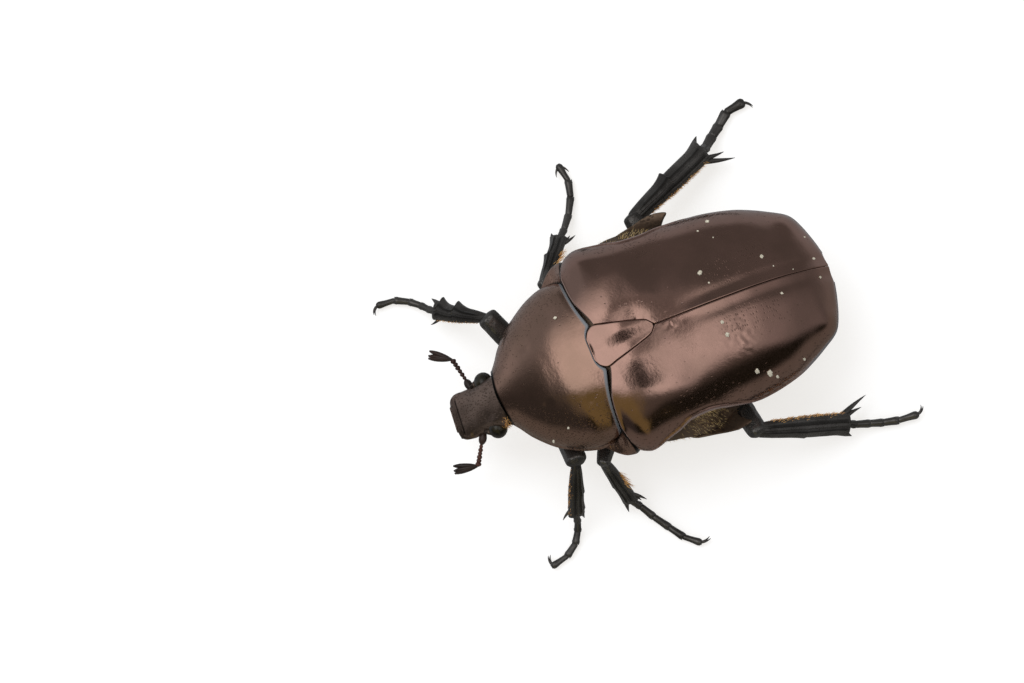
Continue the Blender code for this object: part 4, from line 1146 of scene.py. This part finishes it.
# A femur is a length, half width and half thickness, and a tibia is a length and its half widths at the
# knee and the end. A toe is half a tarsus's thickness. Teeth are a share of the tibia's length and a
# height, and a fringe is its hairs' length, the shares where it starts and ends, and its thickness.
LEGS = {
    "front": dict(
        hip=(1.5, -8.3, 2.0), coxa=dict(place=(2.0, -7.7, 2.9), size=(1.6, 0.85, 0.85)),
        femur=(5.2, 0.74, 0.6), knee=0.96, tibia=(4.75, 0.34, 0.6),
        tarsus=(0.75, 0.75, 0.9, 1.04, 1.31), toe=0.27,
        teeth=((0.6, 0.38), (0.9, 0.4)), apex=0.55, spurs=(0.45,), spur=0.11, outer=1,
        fringe=(0.16, 0.1, 0.95, 0.5),
    ),
    "mid": dict(
        hip=(1.9, -3.6, 1.95), coxa=dict(place=(2.2, -3.0, 2.35), size=(1.6, 0.95, 0.75)),
        femur=(5.87, 0.64, 0.56), knee=0.72, tibia=(4.2, 0.42, 0.55),
        tarsus=(0.8, 1.18, 1.33, 1.21, 1.34), toe=0.28,
        teeth=((0.58, 0.24),), apex=0.4, spurs=(0.6, 0.45), spur=0.13, outer=-1,
        fringe=(0.75, 0.3, 0.66, 1.5),
    ),
    "hind": dict(
        hip=(2.5, 3.1, 1.95), coxa=None,
        femur=(6.75, 0.72, 0.6), knee=0.86, tibia=(7.25, 0.55, 0.8),
        tarsus=(0.65, 1.1, 0.95, 1.09, 1.44), toe=0.3,
        teeth=((0.52, 0.26),), apex=0.45, spurs=(1.85, 1.3), spur=0.2, outer=-1,
        fringe=(0.26, 0.1, 0.95, 0.9),
    ),
}
# Ways are a heading in degrees, from the animal's left towards its rear, and how far the femur rises or
# the tibia falls. Claws turn from a first heading to a last one.
STANCES = {
    ("front", "left"): dict(
        roll=38, teeth=0.22, femur=(1, 34), tibia=(-25, 44), tarsus=(-9, -25, -33, -55, -77),
        claws=((-155, -225), (-146, -208)),
    ),
    ("front", "right"): dict(
        femur=(203, 21), tibia=(235, 32), tarsus=(222, 218, 228, 242, 265), claws=((284, 372), (274, 360)),
    ),
    ("mid", "left"): dict(
        roll=38, teeth=0.3, apex=0.95, femur=(-32, 22), tibia=(15, 44), tarsus=(41, 30, 34, 34, 49),
        claws=((75, 130), (64, 116)),
    ),
    ("mid", "right"): dict(
        roll=28, teeth=0.8, stretch=(0.95, 0.987), femur=(202, 12), tibia=(141.4, 27),
        tarsus=(137, 143, 152, 166, 191), claws=((60, 15), (-60, 0)),
    ),
    ("hind", "left"): dict(
        roll=32, upright=True, teeth=0.3, stretch=(1.02, 1), girth=1.05, femur=(10, 25), tibia=(76.5, 29),
        tarsus=(67, 74, 73, 76, 85), claws=((96, 182), (86, 165)),
    ),
    ("hind", "right"): dict(
        stretch=(0.965, 0.983), girth=1.05, femur=(190.9, 7), tibia=(113.9, 10),
        tarsus=(132, 131, 128, 129, 99), claws=((74, 22), (66, 16)),
    ),
}
TIBIA_THINNESS = 0.72
TIBIA_ROOT = 0.3
TOOTH_SLOPE, TOOTH_CUT = 1.3, 0.16
LAST_TOOTH = 0.3
FURROW_SHADE = 0.75
HIND_TARSUS_WIDTH = 1.3
TARSUS_REST = 1.06
TARSOMERE = (0.5, 0.82, 0.86, 0.88, 0.89, 0.9, 0.92, 0.94, 0.97, 1.0, 0.93, 0.6)
LAST_TARSOMERE = (0.5, 0.72, 0.74, 0.75, 0.76, 0.78, 0.82, 0.86, 0.92, 0.96, 0.88, 0.5)
CLAW_LENGTH = 0.85
CLAW_RADIUS, CLAW_TIP = 0.085, 0.014
CLAW_RISES = (12, -16)
CLAW_STEPS = 12
# The hind plate ends in a thorn at its outer rear corner, and its outer part slants down to the rear.
COXA_PLATE = dict(
    inner=0.5, outer=8.17, rim=0.2, keel=0.1, slant=0.12,
    front=profile(
        (0.5, 1.5), (4, 1.0), (6.4, 0.3), (7.3, -0.3), (7.62, 0.1), (7.92, 1.5), (8.1, 2.3), (8.17, 2.8)
    ),
    rear=profile(
        (0.5, 3.75), (5.5, 3.75), (6.6, 3.45), (7.1, 3.4), (7.6, 3.75), (7.93, 4.12), (8.1, 3.7), (8.17, 3.3)
    ),
    under=profile((0.5, 1.6), (2, 1.7), (4, 2.4), (6, 3.6), (7.2, 4.4), (7.85, 4.95), (8.17, 5.25)),
    depth=profile((0.5, 1.2), (4, 1.3), (6, 1.1), (7.2, 0.8), (7.85, 0.5), (8.17, 0.3)),
)
TIBIA_RIDGES = ((0.55, 0.07), (0.8, 0.04))
TIBIA_FURROWS = ((0.44, 0.11), (0.68, 0.09))
RIDGE_WIDTH = 0.055
MELT_VOXEL = 0.05
MELT_ROUNDS = 3


def melt(name, rod):
    """Melts a closed rod, in millimetres, into a skin with soft edges."""
    mesh = bpy.data.meshes.new(name)
    mesh.from_pydata(rod.reshape(-1, 3).tolist(), [], quads(*rod.shape[:2], True)[0])
    bm = bmesh.new()
    bm.from_mesh(mesh)
    bmesh.ops.remove_doubles(bm, verts=bm.verts, dist=1e-5)
    bmesh.ops.recalc_face_normals(bm, faces=bm.faces)
    bm.to_mesh(mesh)
    bm.free()
    piece = bpy.data.objects.new(name, mesh)
    bpy.context.scene.collection.objects.link(piece)
    remesh = piece.modifiers.new("melt", "REMESH")
    remesh.mode = "VOXEL"
    remesh.voxel_size = MELT_VOXEL
    calm = piece.modifiers.new("calm", "SMOOTH")
    calm.factor = 0.5
    calm.iterations = MELT_ROUNDS
    bake_down(piece)
    count = len(piece.data.vertices)
    points = np.empty(count * 3, np.float32)
    piece.data.vertices.foreach_get("co", points)
    points = points.reshape(-1, 3).astype(float)
    around = np.arctan2(points[:, 2], points[:, 1])
    unwrap = np.stack([points[:, 0] / 10, around / (2 * math.pi) + 0.5], axis=1)
    points = points * MM + np.array(HOME)
    piece.data.vertices.foreach_set("co", points.astype(np.float32).ravel())
    corners = np.empty(len(piece.data.loops), np.int32)
    piece.data.loops.foreach_get("vertex_index", corners)
    layer = piece.data.uv_layers.new(name="unwrap")
    layer.data.foreach_set("uv", unwrap[corners].astype(np.float32).ravel())
    for mask, value in (("pitted", 0.75), ("lined", 0.2)):
        made = piece.data.attributes.new(mask, "FLOAT", "POINT")
        made.data.foreach_set("value", np.full(count, value, np.float32))
    piece.data.shade_smooth()
    piece.data.update()
    return piece


def along(joint, way):
    """The place of a shape drawn along +X from its joint."""
    return Matrix.Translation(joint) @ way.to_track_quat("X", "Z").to_matrix().to_4x4()


def limb_sizes(stations, length, count=30):
    """Evenly spaced points along +X and the sizes there, from (share, half width, half thickness)."""
    wide = profile(*[(share, w) for share, w, t in stations])
    thick = profile(*[(share, t) for share, w, t in stations])
    first, last = stations[0][0], stations[-1][0]
    shares = [first + (last - first) * k / count for k in range(count + 1)]
    return [(share * length, 0, 0) for share in shares], [(wide(s), thick(s)) for s in shares]


leg_finish = cuticle(
    "black_bronze_cuticle", (0.155, 0.148, 0.142), (0.075, 0.07, 0.066), 0.17, 0.8, pit_size=0.06,
    pit_depth=0.006, grain=0.002, striae=0.01,
)


def make_femur(pair, side, pose):
    length, wide, thick = LEGS[pair]["femur"]
    knee = LEGS[pair]["knee"]
    stations = (
        (-0.05, 0.3), (-0.02, 0.6), (0.05, 0.82), (0.3, 1.0), (0.6, 1.0), (0.86, 0.5 + 0.5 * knee),
        (1.0, knee), (1.03, 0.92 * knee), (1.05, 0.7 * knee), (1.06, 0.3),
    )
    sides = 56
    rod = sweep(*limb_sizes([(s, h * wide, h * thick) for s, h in stations], length, 90), sides=sides)
    for row in rod[1:-1]:
        # A blunt edge runs along the front and the back of the femur, and the face between is hollow.
        for k, point in enumerate(row):
            around = 2 * math.pi * k / sides
            point[1:] *= 1 + 0.05 * math.cos(2 * around) + 0.03 * math.cos(6 * around)
            point += np.array([0, 1, 1]) * wobble(point, 0.4, 0.02)
    masks = even(rod, pitted=0.55, lined=0.3)
    piece = make_skin(f"femur_{pair}_{side}_segment", pose_points(rod, pose), True, masks)
    settle(piece, leg_finish, "leg", f"femur_{pair}_{side}")


def ridge_lines(share, lines):
    """How high ridges, or how deep furrows, are at a share from the outer edge (0) to the inner (1)."""
    return sum(height * wave(share, place, RIDGE_WIDTH) for place, height in lines)


def make_tibia(pair, side, pose, toothed, apex):
    leg = LEGS[pair]
    outer = SIDES[side] * leg["outer"]
    length, slim, wide = leg["tibia"]
    half = profile(
        (-TIBIA_ROOT, 0.4 * slim), (0, 0.85 * slim), (0.3, slim), (0.3 * length, slim + 0.6 * (wide - slim)),
        (0.65 * length, wide), (length, wide), (length + 1, wide),
    )
    tip = length + apex
    begin, finish, thickness = leg["fringe"][1:]
    stations, columns = 180, 88
    turns = [2 * math.pi * j / columns for j in range(columns)]
    rows, furrow_shade, hairy, lie = [], [], [], []
    for k in range(stations + 1):
        x = (tip + TIBIA_ROOT) * k / stations - TIBIA_ROOT
        # Each tooth is the end of a swelling of the outer edge, cut off steeply on its far side.
        edge = half(x)
        for share, tooth in leg["teeth"]:
            before = share * length - x
            swell = max(0, 1 - before / TOOTH_SLOPE) ** 2.2
            if before <= 0:
                swell = max(0, 1 + before / TOOTH_CUT) ** 1.5
            edge += toothed * tooth * swell
        edge += LAST_TOOTH * min(1, 2 * toothed) * step(x, length - 1.2, tip)
        near = -half(x)
        if x > length - 0.02:
            # Past the end only the last tooth goes on.
            left_over = max(0, 1 - (x - length) / apex)
            near = edge - 0.42 * left_over - 0.04
            near = near - (near + half(x)) * (1 - step(x, length - 0.02, length + 0.1))
        thick = TIBIA_THINNESS * half(x) * (1 - 0.75 * step(x, length - 0.1, length + 0.15))
        thick *= min(1, 0.25 + 3 * (x + TIBIA_ROOT)) * (0.25 + 0.75 * step(tip - x, 0, 0.5))
        middle, reach = (edge + near) / 2, (edge - near) / 2
        grooved = step(x, 0.2, 1.2) * (1 - step(x, length - 0.5, length))
        row, fringe, black = [], [], []
        for a in turns:
            aside = math.acos(math.cos(a))
            share = aside / math.pi
            rise = (ridge_lines(share, TIBIA_RIDGES) - ridge_lines(share, TIBIA_FURROWS)) * grooved
            # The furrows are darkened with painted shade.
            furrow = sum(wave(share, place, RIDGE_WIDTH) for place, depth in TIBIA_FURROWS)
            black.append(FURROW_SHADE * grooved * furrow)
            z = thick * math.sin(a) + math.copysign(rise * abs(math.sin(a)) ** 0.5, math.sin(a))
            point = (x, outer * (middle + reach * math.cos(a)), z)
            row.append(np.array(point) + np.array([0, 0, 1]) * wobble(point, 0.5, 0.012) * grooved)
            grown = wave(aside, math.pi, 0.3) * step(x / length, begin, begin + 0.08)
            fringe.append(grown * (1 - step(x / length, finish - 0.05, finish)))
        rows.append(row)
        furrow_shade.append(black)
        hairy.append(fringe)
        lie.append([(1.3, outer * math.cos(a), 0.4 * math.sin(a)) for a in turns])
    grid = pose_points(capped(rows), pose)
    furrow_shade = np.array(repeat_ends(furrow_shade))
    masks = {"pitted": 0.6 * (1 - np.clip(furrow_shade, 0, 1)), "seam": furrow_shade}
    piece = make_skin(f"tibia_{pair}_{side}_segment", grid, True, masks)
    lie = np.array(repeat_ends(lie)) @ np.array(pose.to_3x3()).T
    coat = make_skin("coat", grid, True, {"hairy": thickness * np.array(repeat_ends(hairy)), "lie": lie})
    # Short points stand round the socket of the tarsus.
    rods = []
    for turn in (0.3, 1.2, 1.75):
        point = (length - 0.35, wide * 0.6 * math.cos(turn * math.pi), wide * 0.5 * math.sin(turn * math.pi))
        rods.append(spine(point, (point[0] + 0.42, point[1] * 1.05, point[2] * 1.05), 0.1, tip=0.02))
    for index, reach in enumerate(leg["spurs"]):
        slant = math.radians(35 - 12 * index)
        root = Vector((length - 0.45, -outer * wide * (0.75 - 0.3 * index), -0.12))
        way = Vector((math.cos(slant), -outer * math.sin(slant), -0.12))
        sag = way.cross(Vector((0, 0, 1))) * 0.05 * outer
        rods.append(spine(root, root + way * (reach + 0.4), leg["spur"], sag, 0.015, 12, 14))
    piece = join(piece, *[make_skin("spur", pose_points(rod, pose), True) for rod in rods])
    settle(piece, leg_finish, "leg", f"tibia_{pair}_{side}")
    return coat


def make_tarsus(pair, side, start, stance):
    joint = start.copy()
    toe = LEGS[pair]["toe"]
    # The hind tarsi are flattened, and the left one stands on edge.
    upright = stance.get("upright")
    wide = toe * (HIND_TARSUS_WIDTH if pair == "hind" else 1.0)
    rest = TARSUS_REST * (wide if upright else toe)
    rods = []
    for index, (length, heading) in enumerate(zip(LEGS[pair]["tarsus"], stance["tarsus"])):
        settled = max(0, 1 - (index + 1) / 3) ** 1.5
        drop = joint.z - (rest + (start.z - rest) * settled)
        way = bearing(heading, -math.degrees(math.asin(min(0.9, drop / length))))
        end = joint + way * length
        last = index == len(stance["tarsus"]) - 1
        flat = way.cross(Vector((0, 0, 1))) if upright else Vector((0, 0, 1))
        sizes = [(wide * s, toe * s) for s in (LAST_TARSOMERE if last else TARSOMERE)]
        rods.append(bead(joint - way * 0.08, end + way * 0.05, sizes, 24, flat))
        # Two short spines stand at the end of each joint but the last.
        for turn in () if last else (-1, 1):
            side_way = way.cross(Vector((0, 0, 1))).normalized() * turn
            root = end - way * 0.2 + side_way * (toe if upright else wide) * 0.78
            rods.append(spine(root, root + way * 0.27 + side_way * 0.02, 0.055, tip=0.015))
        joint = end
    base = joint - bearing(stance["tarsus"][-1], 0) * 0.12
    for first, last in stance["claws"]:
        place, path, sizes = base, [], []
        for k in range(CLAW_STEPS + 1):
            share = k / CLAW_STEPS
            path.append(place)
            sizes.append((CLAW_RADIUS * (1 - share**1.6) + CLAW_TIP,) * 2)
            rise = CLAW_RISES[0] + (CLAW_RISES[1] - CLAW_RISES[0]) * share
            place = place + bearing(first + (last - first) * share, rise) * CLAW_LENGTH / CLAW_STEPS
        rods.append(sweep(path, sizes, 14))
    piece = join(*[make_skin("joint", rod, True) for rod in rods])
    piece.name = f"tarsus_{pair}_{side}_joints"
    settle(piece, leg_finish, "leg", f"tarsus_{pair}_{side}")


def coxa_rod(leg, sign):
    """A barrel that lies across the body."""
    (x, y, z), (long, wide, deep) = leg["coxa"]["place"], leg["coxa"]["size"]
    sizes = [(wide * s, deep * s) for s in (0.1, 0.5, 0.72, 0.88, 0.98, 1.0, 0.95, 0.82, 0.6, 0.15)]
    return sweep([(sign * (x + long * (2 * k / 9 - 1)), y, z) for k in range(10)], sizes, 28)


def coxa_plate(sign):
    """The wide plate of the hind coxa, keeled along its middle."""
    plate = COXA_PLATE
    rim = plate["rim"]
    rows = []
    count = 90
    for i in range(count + 1):
        x = plate["inner"] + (plate["outer"] - plate["inner"]) * i / count
        under, over = plate["under"](x), plate["under"](x) + plate["depth"](x)
        near, far = plate["front"](x), plate["rear"](x)
        section = (
            (near, under + rim), (near + rim, under), ((near + far) / 2, under - plate["keel"]),
            (far - rim, under), (far, under + rim), (far, over), (near, over),
        )
        tilt = plate["slant"] * step(x, 5.0, 7.5)
        rows.append([(sign * x, y, z - tilt * (y - 2.2)) for y, z in section])
    return capped(rows)


def make_coxa(pair, side):
    leg = LEGS[pair]
    rod = coxa_rod(leg, SIDES[side]) if leg["coxa"] else coxa_plate(SIDES[side])
    piece = melt(f"coxa_{pair}_{side}_plate", rod)
    settle(piece, underside_finish, "underside", f"coxa_{pair}_{side}")


coats = {}
for (pair, side), stance in STANCES.items():
    leg = LEGS[pair]
    x, y, z = leg["hip"]
    hip = Vector((SIDES[side] * x, y, z))
    femur_way = bearing(*stance["femur"])
    # A pair's two legs differ a little in length and girth, as they do on any animal.
    femur_stretch, tibia_stretch = stance.get("stretch", (1, 1))
    girth = stance.get("girth", 1)
    knee = hip + femur_way * leg["femur"][0] * femur_stretch
    tibia_way = bearing(stance["tibia"][0], -stance["tibia"][1])
    ankle = knee + tibia_way * leg["tibia"][0] * tibia_stretch
    make_coxa(pair, side)
    make_femur(pair, side, along(hip, femur_way) @ Matrix.Diagonal((femur_stretch, girth, girth, 1)))
    # Some tibiae are turned a little about their own length, the outer edge down.
    roll = math.radians(stance.get("roll", 0)) * -SIDES[side] * leg["outer"]
    turned = along(knee, tibia_way) @ Matrix.Rotation(roll, 4, "X")
    rolled = turned @ Matrix.Diagonal((tibia_stretch, 1, 1, 1))
    coats[f"tibia_{pair}_{side}_fringe"] = make_tibia(
        pair, side, rolled, stance.get("teeth", 1), stance.get("apex", leg["apex"])
    )
    make_tarsus(pair, side, ankle, stance)

# Bristles
# Fringes of stiff orange-tan hairs along the inner edge of each tibia, and short golden ones on the
# flanks and behind the left eye. Each hair is a thin, tapered, slightly bent blade rooted in the skin.
BRISTLE_RADIUS = 0.017
BRISTLE_CURL = 3.0


def make_bristle_tree():
    tree = bpy.data.node_groups.new("bristles", "GeometryNodeTree")
    tree.interface.new_socket("Skin", in_out="INPUT", socket_type="NodeSocketGeometry")
    for name in ("Hairs per mm2", "Length", "Radius", "Spread", "Curl"):
        tree.interface.new_socket(name, in_out="INPUT", socket_type="NodeSocketFloat")
    tree.interface.new_socket("Seed", in_out="INPUT", socket_type="NodeSocketInt")
    tree.interface.new_socket("Finish", in_out="INPUT", socket_type="NodeSocketMaterial")
    tree.interface.new_socket("Hairs", in_out="OUTPUT", socket_type="NodeSocketGeometry")
    bench = Nodes(tree)
    entry = tree.nodes.new("NodeGroupInput")
    given = {socket.name: Wire(tree, socket) for socket in entry.outputs if socket.name}

    def read(attribute, kind="FLOAT_VECTOR"):
        return bench.node("GeometryNodeInputNamedAttribute", {"data_type": kind}, {"Name": attribute})

    hairy, lie = read("hairy", "FLOAT"), read("lie")
    roots = bench.node(
        "GeometryNodeDistributePointsOnFaces",
        {"distribute_method": "RANDOM"},
        {"Mesh": given["Skin"], "Density": hairy * given["Hairs per mm2"] * 1e6, "Seed": given["Seed"]},
    )
    stray = bench.node(
        "FunctionNodeRandomValue",
        {"data_type": "FLOAT_VECTOR"},
        {0: (-1.0, -1.0, -1.0), 1: (1.0, 1.0, 1.0), "Seed": given["Seed"]},
    )
    stray = bench.node("ShaderNodeVectorMath", {"operation": "SCALE"}, {0: stray, "Scale": given["Spread"]})
    way = bench.node("ShaderNodeVectorMath", {"operation": "ADD"}, {0: lie, 1: stray})
    turn = bench.node("FunctionNodeAlignRotationToVector", {"axis": "Z"}, {"Vector": way})
    varied = bench.node(
        "FunctionNodeRandomValue", {"data_type": "FLOAT"}, {2: 0.55, 3: 1.1, "Seed": 7}, output=1
    )
    scale = bench.node(
        "ShaderNodeCombineXYZ", (), {0: given["Radius"], 1: given["Radius"], 2: given["Length"] * varied}
    )
    # One hair is drawn a unit long and a unit in radius, with its patch of the unwrap.
    blade = bench.node(
        "GeometryNodeMeshCone",
        {"fill_type": "NGON"},
        {"Vertices": 3, "Side Segments": 3, "Radius Top": 0.08, "Radius Bottom": 1.0, "Depth": 1.0},
    )
    place = bench.node("GeometryNodeInputPosition")
    axes = tree.nodes.new("ShaderNodeSeparateXYZ")
    plug(tree, axes.inputs[0], place)
    side, along_it = Wire(tree, axes.outputs[0]), Wire(tree, axes.outputs[2])
    patch = bench.node("ShaderNodeCombineXYZ", (), {0: side * 0.0015, 1: along_it * 0.003})
    blade = bench.node(
        "GeometryNodeStoreNamedAttribute",
        {"data_type": "FLOAT_VECTOR", "domain": "POINT"},
        {"Geometry": blade, "Name": "patch", "Value": patch},
    )
    bent = bench.node("ShaderNodeCombineXYZ", (), {0: along_it * along_it * given["Curl"]})
    blade = bench.node("GeometryNodeSetPosition", (), {"Geometry": blade, "Offset": bent})
    hairs = bench.node(
        "GeometryNodeInstanceOnPoints",
        (),
        {"Points": roots, "Instance": blade, "Rotation": turn, "Scale": scale},
    )
    hairs = bench.node("GeometryNodeRealizeInstances", (), {"Geometry": hairs})
    laid = bench.node("ShaderNodeVectorMath", {"operation": "ADD"}, {0: read("unwrap"), 1: read("patch")})
    hairs = bench.node(
        "GeometryNodeStoreNamedAttribute",
        {"data_type": "FLOAT2", "domain": "CORNER"},
        {"Geometry": hairs, "Name": "OFBake", "Value": laid},
    )
    hairs = bench.node("GeometryNodeSetMaterial", (), {"Geometry": hairs, "Material": given["Finish"]})
    leave = tree.nodes.new("NodeGroupOutput")
    plug(tree, leave.inputs[0], hairs)
    return tree


def grow_bristles(name, skin, slot, finish, density, length, spread, seed):
    """Turns a copy of a skin, with its hairy and lie attributes, into the hairs that grow on it."""
    skin.name = name
    growth = skin.modifiers.new("bristles", "NODES")
    growth.node_group = bristle_tree
    chosen = {
        "Hairs per mm2": density, "Length": length * MM, "Radius": BRISTLE_RADIUS * MM, "Spread": spread,
        "Curl": BRISTLE_CURL, "Seed": seed, "Finish": finish,
    }
    for item in bristle_tree.interface.items_tree:
        if item.in_out == "INPUT" and item.name in chosen:
            growth[item.identifier] = chosen[item.name]
    bake_down(skin)
    for spare in ("hairy", "lie", "patch", "unwrap"):
        if spare in skin.data.attributes:
            skin.data.attributes.remove(skin.data.attributes[spare])
    settle(skin, finish, slot)


def mottled(name, dark, pale, size, roughness):
    """A matt finish that drifts between two colours over a size in millimetres."""
    material, nodes, shader, scaled = new_material(name)
    shades = nodes.node("ShaderNodeTexNoise", inputs={"Vector": scaled, "Scale": 1 / size, "Detail": 2.0})
    plug(material.node_tree, shader.inputs["Base Color"], nodes.mix(shades.rise(0.3, 0.7), dark, pale))
    shader.inputs["Roughness"].default_value = roughness
    return material


bristle_finish = mottled("orange_tan_bristle", (0.42, 0.19, 0.05), (0.72, 0.42, 0.15), 0.33, 0.5)
flank_finish = mottled("golden_cream_hair", (0.42, 0.28, 0.11), (0.78, 0.6, 0.32), 0.33, 0.5)
bristle_tree = make_bristle_tree()
for seed, (name, coat) in enumerate(coats.items()):
    length = LEGS[name.split("_")[1]]["fringe"][0]
    grow_bristles(name, coat, "leg", bristle_finish, 140.0, length, 0.4, seed)
grow_bristles("flank_hairs", flank_coat, "underside", flank_finish, 75.0, 0.3, 0.45, 21)
grow_bristles("cheek_hairs", head_coat, "shell", bristle_finish, 120.0, 0.3, 0.45, 22)

# Flecks
# Dried flecks of cream-coloured dirt that stick to the polished shell, a few tenths of a millimetre wide:
# where each lies on the back, in millimetres, and how wide it is.
FLECKS = (
    (-5.7, 6.4, 0.35), (-5.2, 5.5, 0.2), (-4.3, 6.3, 0.15), (-5.5, 0.9, 0.25), (-2.2, 4.5, 0.4),
    (-1.3, 4.8, 0.18), (-1.8, 8.9, 0.35), (-0.9, 9.4, 0.15), (-0.3, 10.6, 0.12), (-0.7, 12.3, 0.25),
    (-2.4, 12.3, 0.25), (1.6, 4.6, 0.35), (2.5, 4.6, 0.4), (1.1, 9.2, 0.25), (0.7, 12.2, 0.25),
    (4.8, 11.0, 0.25), (5.6, 9.0, 0.2), (5.8, 6.4, 0.5), (5.4, 5.6, 0.4), (6.1, 6.8, 0.25),
    (5.7, 1.0, 0.35), (-3.1, -5.9, 0.3), (4.1, -7.9, 0.2), (4.3, -9.2, 0.22),
)


def shell_height(x, y):
    """The height of the back over a place on the floor."""
    if y > PRONOTUM_BASE + 0.5:
        return elytra_height(x, y) + elytra_relief(abs(x), y, "left" if x > 0 else "right")
    return vault(x, PRONOTUM_WIDTH(y), PRONOTUM_FLATNESS(y), PRONOTUM_BACK(y), PRONOTUM_MARGIN(y))


FLECK_THICKNESS = 0.14
FLECK_REACH = 0.36
lumps = []
rows, columns = 8, 16
for number, (x, y, size) in enumerate(FLECKS):
    z = shell_height(x, y)
    steps = ((0.05, 0), (0, 0.05))
    lean = [(shell_height(x + a, y + b) - shell_height(x - a, y - b)) / 0.1 for a, b in steps]
    grid = []
    for i in range(rows + 1):
        polar = math.pi * i / rows
        height = FLECK_THICKNESS * size * math.cos(polar)
        ring = []
        for j in range(columns):
            angle = 2 * math.pi * j / columns
            uneven = 1 + wobble((math.cos(angle), math.sin(angle), 3 * number + polar), 0.7, 0.7)
            reach = FLECK_REACH * size * math.sin(polar) * uneven
            dx, dy = reach * math.cos(angle + 2.4 * number), reach * math.sin(angle + 2.4 * number)
            ring.append((x + dx, y + dy, z + dx * lean[0] + dy * lean[1] + height))
        grid.append(ring)
    lumps.append(make_skin("lump", np.array(grid), True))
flecks = join(*lumps)
flecks.name = "cream_flecks"
settle(flecks, mottled("dried_cream_dirt", (0.36, 0.33, 0.25), (0.6, 0.56, 0.46), 0.1, 0.8), "shell")
